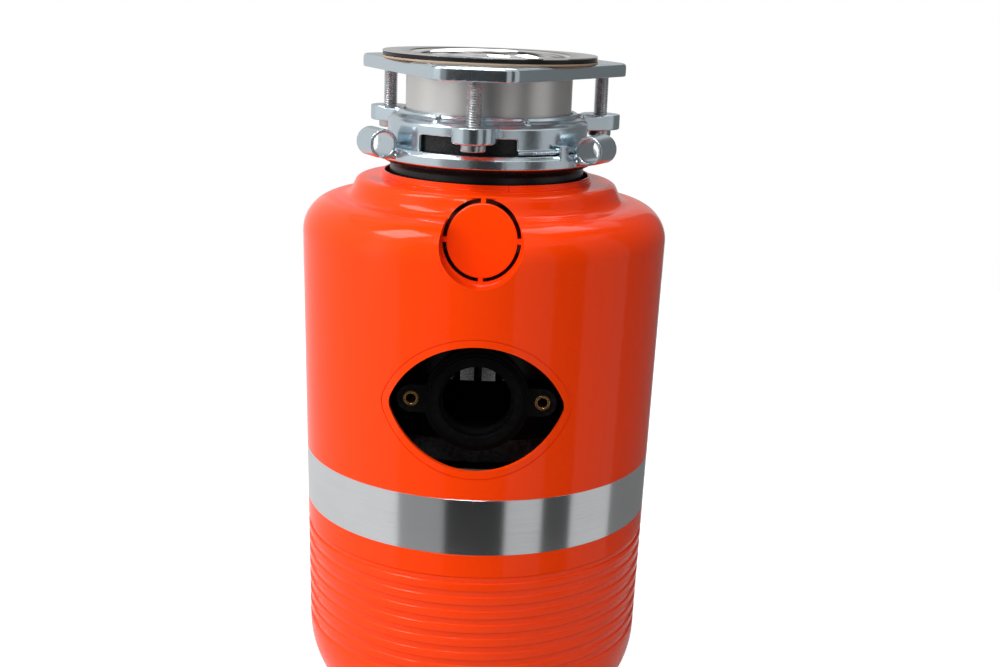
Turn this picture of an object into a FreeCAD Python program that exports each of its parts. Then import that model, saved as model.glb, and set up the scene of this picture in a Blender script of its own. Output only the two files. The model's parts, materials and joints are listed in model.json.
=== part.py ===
import FreeCAD, Part
import math
import os
import re

import Sketcher
from FreeCAD import Rotation, Vector

os.makedirs("parts", exist_ok=True)

# Kitchen waste disposer for a 3 1/2 inch sink opening. Millimetres, +Z up, floor at z = 0, axis on x = y = 0.
# The discharge outlet faces -Y, which is the front. Angles are counted from the front, anticlockwise from above.

sizes = {
    # whole machine
    "overall_height": 372, "shoulder_radius": 98.3, "foot_radius": 94, "shell_wall": 3, "face_gap": 0.3,
    "shaft_fit": 0.03, "seat_gap": 0.05, "foot_height": 3.2,
    # sink flange and its gaskets
    "flange_radius": 57, "flange_sheet": 0.8, "flange_lip": 6.5, "sleeve_radius": 44.3, "sleeve_length": 38,
    "rim_gasket_thick": 1.8, "fibre_gasket_thick": 1.0, "gasket_bore": 51, "groove_drop": 33.8,
    "groove_depth": 0.7, "snap_wire": 3,
    # backup flange and screws
    "plate_sheet": 2.2, "plate_skirt": 7.2, "plate_reach": 74, "plate_lobe": 38,
    "plate_corner": 10, "screw_circle": 68.2, "screw_radius": 3.9, "screw_head": 6.3,
    "screw_head_high": 3.6, "screw_turn": -5,
    # mounting ring
    "ring_drop": 30, "ring_radius": 53.7, "ring_wall": 2.4, "ring_high": 20, "ear_radius": 11, "ear_high": 8.4,
    "ear_drop": 2.6, "ramp_wide": 2.7, "ramp_thick": 1.8, "nub_radius": 1.7, "nub_circle": 49.6, "nub_drop": 0.7,
    # swivel ring
    "swivel_drop": 48.4, "swivel_radius": 59, "swivel_high": 9, "swivel_sheet": 2.3, "lug_radius": 7.6,
    "lug_length": 18, "lug_circle": 65.2, "tab_high": 5, "lug_turn": 60, "lug_lift": 2.4,
    # rubber between flange and chamber
    "cushion_radius": 50.9, "cushion_lip": 40.5, "collar_radius": 52.2,
    # grinding chamber
    "neck_radius": 46.2, "neck_lip": 49.5, "chamber_radius": 72, "chamber_wall": 2, "chamber_rim": 79,
    "chamber_floor": 234, "rim_thick": 3, "neck_foot": 298, "cone_foot": 278, "inlet_radius": 11,
    "inlet_wall": 2.5, "rim_bolt_circle": 76.3, "rim_bolt_radius": 2,
    # upper housing
    "lip_radius": 57, "lip_high": 3.6, "lip_bore": 54.8, "deck_drop": 66.6, "deck_radius": 66.3,
    "deck_round": 4.6, "hip_drop": 77, "hip_round": 19, "valley_radius": 73.4,
    "valley_drop": 74.6,
    # knock-out for the dishwasher inlet
    "knock_height": 285.1, "knock_radius": 19.4, "knock_slot": 2, "knock_recess": 20.4, "knock_lean": 20.4,
    "knock_depth": 78.7, "knock_plate": 2.4, "knock_bridge": 2.4,
    # window round the outlet
    "outlet_height": 203.5, "window_wide": 43.8, "window_high": 32.4, "window_tip": 10, "window_line": 4,
    # outlet port
    "port_bore": 17.5, "port_ring": 26.7, "port_front": 82, "port_ear": 33.2, "port_ear_round": 7.2,
    "port_ear_thick": 9, "insert_radius": 4, "insert_bore": 2.6, "insert_long": 8,
    # trim band and lower housing
    "band_top": 156.3, "band_bottom": 126.1, "band_sheet": 0.8, "rib_first": 110.6, "rib_pitch": 7.85,
    "rib_step": 0.6, "rib_ledge": 0.5, "base_round": 52, "base_start": 52, "base_opening": 60,
    # drain chamber, grind ring and turntable
    "drain_wall": 3, "drain_floor": 184, "drain_floor_thick": 4, "drain_hub": 24, "ring_inner": 63.5,
    "grind_lip": 3, "grind_bottom": 211, "tooth_slot": 4, "tooth_high": 10, "tooth_count": 40,
    "table_gap": 0.7, "table_top": 219.5, "table_thick": 3, "hub_radius": 16, "impeller_circle": 44,
    "impeller_long": 17, "impeller_half": 7, "impeller_high": 8, "pin_radius": 3.5, "pin_head": 5.8,
    "nut_across": 24, "nut_high": 8,
    # motor
    "shaft_radius": 8.5, "shaft_top_radius": 8, "shaft_foot_radius": 6, "seal_radius": 20, "seal_high": 10,
    "bearing_radius": 20, "bearing_high": 12, "frame_top": 180, "frame_plate": 12, "frame_radius": 72,
    "core_radius": 62, "core_bore": 36.3, "core_top": 150, "core_bottom": 80, "air_gap": 0.6, "slot_count": 24,
    "winding_radius": 57, "winding_high": 14, "low_frame_top": 62, "low_bearing_radius": 16,
    "low_bearing_high": 10, "low_hub": 21, "low_hub_foot": 38, "bolt_circle": 67.5, "bolt_radius": 2.5,
    "leg_circle": 54, "leg_radius": 5.5, "leg_screw_radius": 2,
    # base
    "base_plate": 5, "wrench_hole": 9, "foot_pad_radius": 8, "foot_circle": 50, "button_radius": 5,
    "button_long": 10, "button_x": 22, "button_y": -38, "gland_x": -20, "gland_y": -38,
    "gland_bore": 4.2, "gland_body": 7.5, "gland_flange": 9.5, "capacitor_radius": 17, "capacitor_long": 56,
    "capacitor_y": 40, "clip_sheet": 1.2, "clip_wide": 14,
    # sound insulation
    "foam_gap": 0.3, "foam_top": 262, "foam_bottom": 160,
}

# Places that follow from the sizes, written in the same words.
places = {
    "rim_gasket_top": "overall_height - flange_sheet",
    "rim_gasket_low": "rim_gasket_top - rim_gasket_thick",
    "fibre_top": "rim_gasket_low - face_gap",
    "plate_top": "fibre_top - fibre_gasket_thick",
    "plate_low": "plate_top - plate_skirt",
    "sleeve_low": "overall_height - sleeve_length",
    "groove_mid": "overall_height - groove_drop",
    "snap_circle": "sleeve_radius - groove_depth + snap_wire / 2",
    "ring_top": "overall_height - ring_drop",
    "ring_shelf": "groove_mid + snap_wire / 2 + seat_gap",
    "ring_low": "ring_top - ring_high",
    "ear_top": "ring_top - ear_drop",
    "ear_low": "ear_top - ear_high",
    "ring_inner_wall": "ring_radius - ring_wall",
    "swivel_top": "overall_height - swivel_drop",
    "swivel_low": "swivel_top - swivel_high",
    "swivel_bore": "neck_lip - face_gap",
    "lug_mid": "swivel_top + lug_lift",
    "ramp_low": "swivel_top + 2 * face_gap",
    "ramp_edge": "ring_radius + ramp_wide",
    "cushion_low": "swivel_low + swivel_sheet + face_gap",
    "lip_low": "cushion_low + 2.2",
    "lip_top": "lip_low + 1.2",
    "cushion_top": "sleeve_low",
    "collar_top": "swivel_low - 1.3 * face_gap",
    "deck": "overall_height - deck_drop",
    "lip_edge": "deck + lip_high",
    "hip_top": "overall_height - hip_drop",
    "hip_side": "hip_top - hip_round",
    "hip_mid": "shoulder_radius - hip_round",
    "valley": "overall_height - valley_drop",
    "taper": "(shoulder_radius - foot_radius) / (hip_side - base_start)",
    "band_mid": "(band_top + band_bottom) / 2",
    "band_top_radius": "foot_radius + taper * (band_top - base_start)",
    "band_low_radius": "foot_radius + taper * (band_bottom - base_start)",
    "band_mid_radius": "foot_radius + taper * (band_mid - base_start)",
    "gasket_top": "chamber_floor",
    "drain_top": "chamber_floor - 1.5",
    "drain_inner": "chamber_radius - chamber_wall",
    "drain_outer": "drain_inner + drain_wall",
    "drain_low": "drain_floor - drain_floor_thick",
    "grind_outer": "drain_inner - face_gap",
    "table_radius": "ring_inner - table_gap",
    "table_low": "table_top - table_thick",
    "seal_low": "drain_floor + 5",
    "plate_frame_low": "frame_top - frame_plate",
    "rotor_radius": "core_bore - air_gap",
    "low_plate_low": "low_frame_top - frame_plate",
    "low_bearing_low": "low_frame_top - low_bearing_high",
    "cover_low": "foot_height",
    "cover_top": "foot_height + base_plate",
    "base_centre_radius": "foot_radius - base_round",
    "cover_edge": "base_opening - face_gap",
    "capacitor_mid": "cover_top + clip_sheet + seat_gap + clip_sheet + capacitor_radius",
    "foam_outer": "band_mid_radius - shell_wall - foam_gap",
}

document = FreeCAD.newDocument("Disposer")
sheet = document.addObject("Spreadsheet::Sheet", "Sizes")
for line, (alias, value) in enumerate(sizes.items(), start=1):
    sheet.set(f"A{line}", alias.replace("_", " "))
    sheet.set(f"B{line}", str(value))
    sheet.setAlias(f"B{line}", alias)
document.recompute()

finished = []
frontToUp = Rotation(Vector(1, 0, 0), 90)      # turns an upright primitive so that its axis points to -Y
sideways = Rotation(Vector(0, 1, 0), 90)       # turns an upright primitive so that its axis points to +X


def formula(text):
    """Writes a size formula as a sheet expression."""
    def swap(match):
        word = match.group()
        if word in places:
            return "(" + formula(places[word]) + ")"
        return "Sizes." + word if word in sizes else word
    return re.sub(r"[a-z_]+", swap, text)


def value(text):
    """The number that a size formula gives now."""
    number = sheet.evalExpression(formula(text).replace("Sizes.", ""))
    return float(getattr(number, "Value", number))


def bind(item, **formulas):
    for key, text in formulas.items():
        item.setExpression(key.replace("__", "."), formula(text))


def place(item, x="0", y="0", z="0", turn=None):
    if turn is not None:
        item.Placement = FreeCAD.Placement(Vector(), turn)
    bind(item, Placement__Base__x=x, Placement__Base__y=y, Placement__Base__z=z)


def newBody(label):
    body = document.addObject("PartDesign::Body", label)
    return body


def originOf(body, role):
    return next(item for item in body.Origin.OriginFeatures if item.Role == role)


def sketchOn(body, plane="XZ_Plane", lift="0"):
    sketch = body.newObject("Sketcher::SketchObject", body.Name + "Sketch")
    sketch.AttachmentSupport = [(originOf(body, plane), "")]
    sketch.MapMode = "FlatFace"
    bind(sketch, AttachmentOffset__Base__z=lift)
    return sketch


def fixPoint(sketch, shape, end, x, y):
    first = sketch.addConstraint(Sketcher.Constraint("DistanceX", -1, 1, shape, end, value(x)))
    sketch.setExpression(f"Constraints[{first}]", formula(x))
    second = sketch.addConstraint(Sketcher.Constraint("DistanceY", -1, 1, shape, end, value(y)))
    sketch.setExpression(f"Constraints[{second}]", formula(y))


def fixRadius(sketch, shape, radius):
    index = sketch.addConstraint(Sketcher.Constraint("Radius", shape, value(radius)))
    sketch.setExpression(f"Constraints[{index}]", formula(radius))


def circle(sketch, x, y, radius):
    shape = sketch.addGeometry(Part.Circle(Vector(value(x), value(y), 0), Vector(0, 0, 1), value(radius)))
    fixPoint(sketch, shape, 3, x, y)
    fixRadius(sketch, shape, radius)


def arcBetween(start, end, radius, turn):
    """An arc from start to end; turn is +1 anticlockwise or -1 clockwise."""
    half = (end - start) * 0.5
    rise = math.sqrt(max(radius ** 2 - half.Length ** 2, 0))
    side = Vector(-half.y, half.x, 0).normalize() * turn
    centre = start + half + side * rise
    first, last = (start, end) if turn > 0 else (end, start)
    angles = [math.atan2(point.y - centre.y, point.x - centre.x) for point in (first, last)]
    if angles[1] < angles[0]:
        angles[1] += 2 * math.pi
    return Part.ArcOfCircle(Part.Circle(centre, Vector(0, 0, 1), radius), *angles)


def outline(sketch, corners):
    """A closed outline. Each corner is (x, y), or (x, y, radius, turn) where an arc leaves it."""
    spots = [Vector(value(corner[0]), value(corner[1]), 0) for corner in corners]
    ends = []
    for index, corner in enumerate(corners):
        start, end = spots[index], spots[(index + 1) % len(spots)]
        if len(corner) == 2:
            shape = sketch.addGeometry(Part.LineSegment(start, end))
            ends.append((shape, 1, 2))
        else:
            shape = sketch.addGeometry(arcBetween(start, end, value(corner[2]), corner[3]))
            ends.append((shape, 1, 2) if corner[3] > 0 else (shape, 2, 1))
    for index, (shape, first, _) in enumerate(ends):
        before, _, last = ends[index - 1]
        sketch.addConstraint(Sketcher.Constraint("Coincident", before, last, shape, first))
        fixPoint(sketch, shape, first, corners[index][0], corners[index][1])
        if len(corners[index]) == 4:
            fixRadius(sketch, shape, corners[index][2])


def revolve(label, corners, body=None, kind="Revolution"):
    body = body or newBody(label)
    sketch = sketchOn(body)
    outline(sketch, corners)
    turned = body.newObject("PartDesign::" + kind, body.Name + kind)
    turned.Profile = sketch
    turned.ReferenceAxis = (sketch, ["V_Axis"])
    turned.Angle = 360
    return body


def extrude(body, sketch, length, kind="Pad", back=False, both=False):
    feature = body.newObject("PartDesign::" + kind, body.Name + kind)
    feature.Profile = sketch
    bind(feature, Length=length)
    feature.Reversed = back
    feature.Midplane = both
    return feature


def around(body, features, count):
    pattern = body.newObject("PartDesign::PolarPattern", body.Name + "Around")
    pattern.Originals = features
    pattern.Axis = (originOf(body, "Z_Axis"), [""])
    pattern.Angle = 360
    if isinstance(count, str):
        bind(pattern, Occurrences=count)
    else:
        pattern.Occurrences = count
    body.Tip = pattern
    return pattern


def rod(label, radius, low, high, x="0", y="0", turn=None):
    item = document.addObject("Part::Cylinder", label)
    bind(item, Radius=radius, Height=f"({high}) - ({low})")
    place(item, x, y, low, turn)
    return item


def frontRod(label, radius, near, far, x, z):
    """A cylinder along -Y, from y = -near to y = -far."""
    item = document.addObject("Part::Cylinder", label)
    bind(item, Radius=radius, Height=f"({far}) - ({near})")
    place(item, x, f"-({near})", z, frontToUp)
    return item


def block(label, wide, deep, high, x, y, z):
    """A box centred on x and y, standing on z."""
    item = document.addObject("Part::Box", label)
    bind(item, Length=wide, Width=deep, Height=high)
    place(item, f"({x}) - ({wide}) / 2", f"({y}) - ({deep}) / 2", z)
    return item


def fuse(label, items):
    item = document.addObject("Part::MultiFuse", label)
    item.Shapes = items
    return item


def common(label, items):
    item = document.addObject("Part::MultiCommon", label)
    item.Shapes = items
    return item


def cut(label, base, tools):
    item = document.addObject("Part::Cut", label)
    item.Base = base
    item.Tool = tools[0] if len(tools) == 1 else fuse(label + "Tools", tools)
    return item


def finish(item, label):
    item.Label = label
    finished.append(item)
    return item


def circleSpot(radius, turn):
    """Place on a circle, with the turn counted from the front."""
    return f"({radius}) * sin({turn})", f"-({radius}) * cos({turn})"


def washer(label, inner, outer, low, high):
    return finish(revolve(label, [(inner, low), (outer, low), (outer, high), (inner, high)]), label)


# ---------------------------------------------------------------- sink flange, gaskets and clamp

def makeSinkFlange():
    lip = "sleeve_radius + flange_lip"
    bend = "rim_gasket_top - flange_lip"
    inner = "sleeve_radius - flange_sheet"
    over, under = "groove_mid + snap_wire / 2", "groove_mid - snap_wire / 2"
    return finish(revolve("sink_flange", [
        ("flange_radius", "overall_height"), (lip, "overall_height", "flange_lip + flange_sheet", 1),
        (inner, bend), (inner, f"{over} + 1"), (f"{inner} - groove_depth", over),
        (f"{inner} - groove_depth", under), (inner, f"{under} - 1"), (inner, "sleeve_low"),
        ("sleeve_radius", "sleeve_low"), ("sleeve_radius", under), ("sleeve_radius - groove_depth", under),
        ("sleeve_radius - groove_depth", over), ("sleeve_radius", over),
        ("sleeve_radius", bend, "flange_lip", -1), (lip, "rim_gasket_top"), ("flange_radius", "rim_gasket_top"),
    ]), "sink_flange")


def plateSketch(body, inset):
    """The backup flange seen from above: a triangle with its corners cut off, one of them at the front."""
    reach, half = f"(plate_reach - {inset})", f"(plate_lobe / 2 - {inset} / 2)"
    sketch = sketchOn(body, "XY_Plane", "plate_top")
    corners = []
    for turn in (0, 120, 240):
        for side in (-1, 1):
            x = f"({reach} * sin({turn}) + {side} * {half} * cos({turn}))"
            y = f"({side} * {half} * sin({turn}) - {reach} * cos({turn}))"
            corners.append((x, y))
    outline(sketch, corners)
    return sketch


def makeBackupFlange():
    body = newBody("plate_blank")
    plate = extrude(body, plateSketch(body, "0"), "plate_skirt", back=True)
    document.recompute()
    corners = [f"Edge{number}" for number, edge in enumerate(plate.Shape.Edges, start=1)
               if abs(edge.BoundBox.ZLength - value("plate_skirt")) < 0.01]
    rounds = body.newObject("PartDesign::Fillet", "PlateCorners")
    rounds.Base = (plate, corners)
    bind(rounds, Radius="plate_corner")
    document.recompute()
    top = value("plate_top")
    rim = [f"Edge{number}" for number, edge in enumerate(rounds.Shape.Edges, start=1)
           if edge.BoundBox.ZLength < 0.01 and abs(edge.BoundBox.ZMin - top) < 0.01]
    soft = body.newObject("PartDesign::Fillet", "PlateRim")
    soft.Base = (rounds, rim)
    bind(soft, Radius="plate_sheet * 0.8")
    under = cut("backup_flange_open", body, [
        rod("plate_bore", "sleeve_radius + 1.3", "plate_low - 1", "plate_top + 1"),
        plateHollow()] + [
        rod(f"plate_cup_{turn}", "screw_radius + face_gap", "plate_low - 1", "plate_top - plate_sheet",
            *circleSpot("screw_circle", f"{turn}")) for turn in (0, 120, 240)])
    place(under, turn=Rotation(Vector(0, 0, 1), sizes["screw_turn"]))
    return finish(under, "backup_flange")


def plateHollow():
    """The space under the pressed sheet, inside its skirt."""
    body = newBody("plate_hollow")
    sketch = plateSketch(body, "plate_sheet")
    bind(sketch, AttachmentOffset__Base__z="plate_top - plate_sheet")
    hollow = extrude(body, sketch, "plate_skirt", back=True)
    document.recompute()
    upright = [f"Edge{number}" for number, edge in enumerate(hollow.Shape.Edges, start=1)
               if abs(edge.BoundBox.ZLength - value("plate_skirt")) < 0.01]
    rounds = body.newObject("PartDesign::Fillet", "HollowCorners")
    rounds.Base = (hollow, upright)
    bind(rounds, Radius="plate_corner - plate_sheet")
    collar = rod("plate_collar", "sleeve_radius + 1.3 + plate_sheet", "plate_low - 2", "plate_top")
    return cut("plate_hollow_ring", body, [collar])


def makeScrew(number, turn):
    x, y = circleSpot("screw_circle", f"{turn} + screw_turn")
    name = f"mounting_screw_{number}"
    shank = rod(f"{name}_shank", "screw_radius", "ear_low - face_gap", "plate_top - plate_sheet - face_gap", x, y)
    head = rod(f"{name}_head", "screw_head", "ear_low - face_gap - screw_head_high", "ear_low - face_gap", x, y)
    return finish(fuse(name, [shank, head]), name)


def makeSnapRing():
    body = newBody("snap_wire_ring")
    sketch = sketchOn(body)
    circle(sketch, "snap_circle", "groove_mid", "snap_wire / 2 - seat_gap")
    ring = body.newObject("PartDesign::Revolution", "SnapRing")
    ring.Profile = sketch
    ring.ReferenceAxis = (sketch, ["V_Axis"])
    ring.Angle = 360
    split = block("snap_split", "3", "20", "10", "0", "snap_circle", "groove_mid - 5")
    return finish(cut("snap_ring_cut", body, [split]), "snap_ring")


# ---------------------------------------------------------------- mounting ring and swivel ring

nubTurns = (-26, 29, 94, 149, 214, 269)


def makeMountingRing():
    body = revolve("mounting_ring_wall", [
        ("sleeve_radius + 1", "ring_shelf"), ("sleeve_radius + 1", "ring_top"), ("sleeve_radius + 3", "ring_top"),
        ("sleeve_radius + 3.9", "ring_top - 2"), ("ring_radius - 2.2", "ring_top - 3.4"),
        ("ring_radius", "ring_top - 5.6"), ("ring_radius", "ring_low"), ("ring_inner_wall", "ring_low"),
        ("ring_inner_wall", "ring_shelf - 3.2"), ("ring_inner_wall - 2", "ring_shelf - 1"),
        ("snap_circle + snap_wire / 2 + 0.4", "ring_shelf"),
    ])
    ears = []
    for number, turn in enumerate((0, 120, 240)):
        x, y = circleSpot("screw_circle", f"{turn}")
        ears.append(rod(f"ear_{number}", "ear_radius", "ear_low", "ear_top", x, y))
        web = block(f"ear_web_{number}", "ear_radius * 2", "screw_circle - ring_radius + 1.5", "ear_high - 0.8",
                    "0", "0", "ear_low")
        middle = "(screw_circle + ring_radius - 1.5) / 2"
        web.Placement = FreeCAD.Placement(Vector(), Rotation(Vector(0, 0, 1), turn))
        bind(web, Placement__Base__x=f"({middle} + (screw_circle - ring_radius + 1.5) / 2) * sin({turn})"
                                     f" - ear_radius * cos({turn})",
             Placement__Base__y=f"-({middle} + (screw_circle - ring_radius + 1.5) / 2) * cos({turn})"
                                f" - ear_radius * sin({turn})")
        ears.append(web)
    nubs = [rod(f"nub_{number}", "nub_radius", "ring_top - 6", "ring_top - nub_drop",
                *circleSpot("nub_circle", f"{turn}")) for number, turn in enumerate(nubTurns)]
    ramp = newBody("ramp")
    sketch = sketchOn(ramp, "XY_Plane", "ramp_low")
    sector(sketch, "ring_inner_wall + 0.5", "ramp_edge", 22, 62)
    around(ramp, [extrude(ramp, sketch, "ramp_thick")], 3)
    windows = newBody("window_cuts")
    sketch = sketchOn(windows, "XY_Plane", "ring_low - 1")
    sector(sketch, "ring_inner_wall - 1", "ring_radius + 1", -34, 22)
    around(windows, [extrude(windows, sketch, "ear_low - ring_low + 1.6")], 3)
    whole = fuse("mounting_ring_solid", [body, ramp] + ears + nubs)
    bores = [rod(f"ear_bore_{number}", "screw_radius + seat_gap", "ear_low - 1", "ear_top + 1",
                 *circleSpot("screw_circle", f"{turn}")) for number, turn in enumerate((0, 120, 240))]
    ring = cut("mounting_ring_open", whole, [windows] + bores)
    place(ring, turn=Rotation(Vector(0, 0, 1), sizes["screw_turn"]))
    return finish(ring, "mounting_ring")


def sector(sketch, inner, outer, first, last):
    """A ring sector, its angles counted from the front."""
    spots = [circleSpot(radius, f"{turn}") for radius, turn in
             ((outer, first), (outer, last), (inner, last), (inner, first))]
    outline(sketch, [(*spots[0], outer, 1), spots[1], (*spots[2], inner, -1), spots[3]])


def makeSwivelRing():
    bore = "swivel_bore"
    body = revolve("swivel_body", [
        (bore, "swivel_low"), ("swivel_radius - 4", "swivel_low"), ("swivel_radius", "swivel_low + 2.5"),
        ("swivel_radius", "swivel_top - 2.2"), ("swivel_radius - 2", "swivel_top"),
        ("swivel_radius - 2 - swivel_sheet", "swivel_top"), ("swivel_radius - 2 - swivel_sheet", "swivel_low + 5"),
        ("swivel_radius - 6.4", "swivel_low + swivel_sheet"), (bore, "swivel_low + swivel_sheet"),
    ])
    lug = newBody("swivel_lug")
    sketch = sketchOn(lug, "YZ_Plane")
    circle(sketch, "-lug_circle", "lug_mid", "lug_radius")
    around(lug, [extrude(lug, sketch, "lug_length", both=True)], 3)
    eye = newBody("swivel_lug_eye")
    sketch = sketchOn(eye, "YZ_Plane")
    circle(sketch, "-lug_circle", "lug_mid", "lug_radius - 1.8")
    around(eye, [extrude(eye, sketch, "lug_length + 2", both=True)], 3)
    slit = newBody("swivel_lug_slit")
    sketch = sketchOn(slit, "XY_Plane", "swivel_low - 4")
    left, right = "-lug_length", "lug_length"
    near, far = "-(lug_circle + 0.8)", "-(lug_circle + 2.6)"
    outline(sketch, [(left, far), (right, far), (right, near), (left, near)])
    around(slit, [extrude(slit, sketch, "swivel_high + 1.5")], 3)
    web = newBody("swivel_lug_web")
    sketch = sketchOn(web, "XY_Plane", "lug_mid - lug_radius")
    half = "lug_length / 2"
    near, far = "-(swivel_radius - 3)", "-lug_circle"
    outline(sketch, [(f"-{half}", far), (half, far), (half, near), (f"-{half}", near)])
    around(web, [extrude(web, sketch, "1.8")], 3)
    post = newBody("swivel_tab_post")
    sketch = sketchOn(post, "XY_Plane", "swivel_top - 2.6")
    sector(sketch, "ramp_edge + 2 * face_gap", "swivel_radius", -20, -14)
    around(post, [extrude(post, sketch, "tab_high + 2.6")], 3)
    hook = newBody("swivel_tab_hook")
    sketch = sketchOn(hook, "XY_Plane", "ramp_low + ramp_thick + 2 * face_gap")
    sector(sketch, "ring_radius + 2 * face_gap", "swivel_radius", -20, -14)
    around(hook, [extrude(hook, sketch, "tab_high - ramp_thick - 4 * face_gap")], 3)
    ring = cut("swivel_ring_open", fuse("swivel_solid", [body, lug, web, post, hook]), [eye, slit])
    place(ring, turn=Rotation(Vector(0, 0, 1), sizes["lug_turn"]))
    return finish(ring, "swivel_ring")


# ---------------------------------------------------------------- rubber parts of the mount

def makeCushion():
    return finish(revolve("mounting_gasket", [
        ("cushion_lip", "cushion_top"), ("cushion_radius", "cushion_top"), ("cushion_radius", "cushion_low"),
        ("neck_radius + seat_gap", "cushion_low"), ("neck_radius + seat_gap", "lip_low"),
        ("neck_lip + seat_gap", "lip_low"), ("neck_lip + seat_gap", "lip_top"),
        ("neck_radius - chamber_wall", "lip_top"), ("neck_radius - chamber_wall", "cushion_top - 5"),
        ("cushion_lip", "cushion_top - 3"),
    ]), "mounting_gasket")


def makeBaffle():
    outer = "sleeve_radius - flange_sheet - groove_depth - 0.4"
    body = revolve("splash_cup", [
        (f"{outer} - 2.5", "cushion_top"), (outer, "cushion_top"), (outer, "cushion_top + 6"),
        (f"{outer} - 1", "cushion_top + 6.5"), ("15", "cushion_top - 0.5"), ("15", "cushion_top - 2.5"),
        (f"{outer} - 2.5", "cushion_top + 3.5"),
    ])
    slits = newBody("splash_slits")
    sketch = sketchOn(slits, "XY_Plane", "cushion_top - 4")
    outline(sketch, [("-0.4", "-36"), ("0.4", "-36"), ("0.4", "-12"), ("-0.4", "-12")])
    around(slits, [extrude(slits, sketch, "20")], 8)
    return finish(cut("splash_baffle_cut", body, [slits]), "splash_baffle")


def makeCollar():
    return washer("neck_collar", "neck_radius + seat_gap", "collar_radius", "deck - 2.6", "collar_top")


# ---------------------------------------------------------------- housings and trim band

def taperRadius(height, inset="0"):
    return f"(foot_radius + taper * (({height}) - base_start) - ({inset}))"


def makeUpperShell():
    wall = "shell_wall"
    return revolve("upper_shell", [
        ("lip_bore", "lip_edge"), ("lip_radius - 1", "lip_edge"), ("lip_radius - 1", "lip_edge - 1.2"),
        ("lip_radius", "lip_edge - 1.2"), ("lip_radius", "deck"), ("deck_radius", "deck", "deck_round", -1),
        ("deck_radius + deck_round * sin(70)", "deck - deck_round * (1 - cos(70))"),
        ("valley_radius", "valley"),
        ("valley_radius + 3.2", "hip_top - 0.2"), ("hip_mid", "hip_top", "hip_round", -1),
        ("shoulder_radius", "hip_side"), ("band_top_radius", "band_top"),
        ("band_top_radius - band_sheet", "band_top"), ("band_mid_radius - band_sheet", "band_mid + face_gap / 2"),
        (f"band_mid_radius - {wall}", "band_mid + face_gap / 2"),
        (f"shoulder_radius - {wall}", "hip_side", f"hip_round - {wall}", 1), ("hip_mid", f"hip_top - {wall}"),
        ("valley_radius", f"hip_top - {wall}"), (f"valley_radius - {wall}", "valley - 2.4"),
        ("deck_radius + 1", f"deck - {wall}"), ("lip_bore", f"deck - {wall}"),
    ])


def windowSketch(body, margin, lift):
    """The lens-shaped window: two wide arcs joined by small round tips."""
    wide, high, tip = f"(window_wide + {margin})", f"(window_high + {margin})", f"(window_tip + {margin})"
    big = f"((({wide} - {tip}) ^ 2 + {high} ^ 2 - {tip} ^ 2) / (2 * ({high} - {tip})))"
    tipX = f"({big} * ({wide} - {tip}) / ({big} - {tip}))"
    tipZ = f"({big} * ({big} - {high}) / ({big} - {tip}) - ({big} - {high}))"
    sketch = sketchOn(body, "XZ_Plane", lift)
    up, down = f"outlet_height + {tipZ}", f"outlet_height - {tipZ}"
    outline(sketch, [(tipX, up, big, 1), (f"-{tipX}", up, tip, 1), (f"-{tipX}", down, big, 1),
                     (tipX, down, tip, 1)])
    return sketch


def leanPlate(label, thick, radius, side):
    """A flat slab through the knock-out, leaning back at its top, cut to a round along Y."""
    slab = document.addObject("Part::Box", label + "_slab")
    bind(slab, Length="120", Width=thick, Height="160")
    lean = Rotation(Vector(1, 0, 0), -sizes["knock_lean"])
    slab.Placement = FreeCAD.Placement(Vector(), lean)
    rise = "80"
    bind(slab, Placement__Base__x="-60",
         Placement__Base__y=f"-knock_depth - {rise} * sin(knock_lean) + ({side}) * cos(knock_lean)",
         Placement__Base__z=f"knock_height - {rise} * cos(knock_lean) - ({side}) * sin(knock_lean)")
    return common(label, [slab, frontRod(label + "_round", radius, "40", "120", "0", "knock_height")])


def makeUpperHousing():
    solid = revolve("upper_outside", [
        ("0", "band_mid"), ("band_mid_radius", "band_mid"), ("band_top_radius", "band_top"),
        ("shoulder_radius", "hip_side", "hip_round", 1), ("hip_mid", "hip_top"),
        ("valley_radius + 3.2", "hip_top - 0.2"), ("valley_radius", "valley"),
        ("deck_radius + deck_round * sin(70)", "deck - deck_round * (1 - cos(70))", "deck_round", 1),
        ("deck_radius", "deck"), ("0", "deck"),
    ])
    shell = makeUpperShell()
    pocket = leanPlate("knock_pocket", "100", "knock_recess", "-100")
    wallTube = leanPlate("knock_wall", "60", "knock_recess + 2.2", "-60")
    plate = leanPlate("knock_disc", "knock_plate", "knock_recess + 2.2", "0")
    boss = common("knock_boss", [solid, fuse("knock_boss_raw", [wallTube, plate])])
    slots = cut("knock_slots", frontRod("knock_slot_out", "knock_radius", "40", "97", "0", "knock_height"), [
        frontRod("knock_slot_in", "knock_radius - knock_slot", "40", "97", "0", "knock_height"),
        block("knock_bridge_up", "knock_bridge", "80", "60", "0", "-70", "knock_height - 30"),
        block("knock_bridge_side", "60", "80", "knock_bridge", "0", "-70", "knock_height - knock_bridge / 2")])
    behind = leanPlate("knock_behind", "60", "knock_recess + 2.2", "knock_plate")
    window = newBody("window_cut")
    extrude(window, windowSketch(window, "0", "0"), "120")
    line = newBody("window_line")
    extrude(line, windowSketch(line, "window_line", "0"), "120")
    inner = newBody("window_line_inner")
    extrude(inner, windowSketch(inner, "window_line - 0.5", "0"), "120")
    skin = cut("window_skin", rod("skin_out", "shoulder_radius + 5", "outlet_height - 50", "outlet_height + 50"),
               [rod("skin_in", taperRadius("outlet_height", "0.35"), "outlet_height - 51", "outlet_height + 51")])
    groove = common("window_groove", [skin, cut("window_line_ring", line, [inner])])
    housing = cut("upper_housing_open", fuse("upper_housing_solid", [shell, boss]),
                  [pocket, slots, window, groove, behind])
    return finish(housing, "upper_housing")


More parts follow.
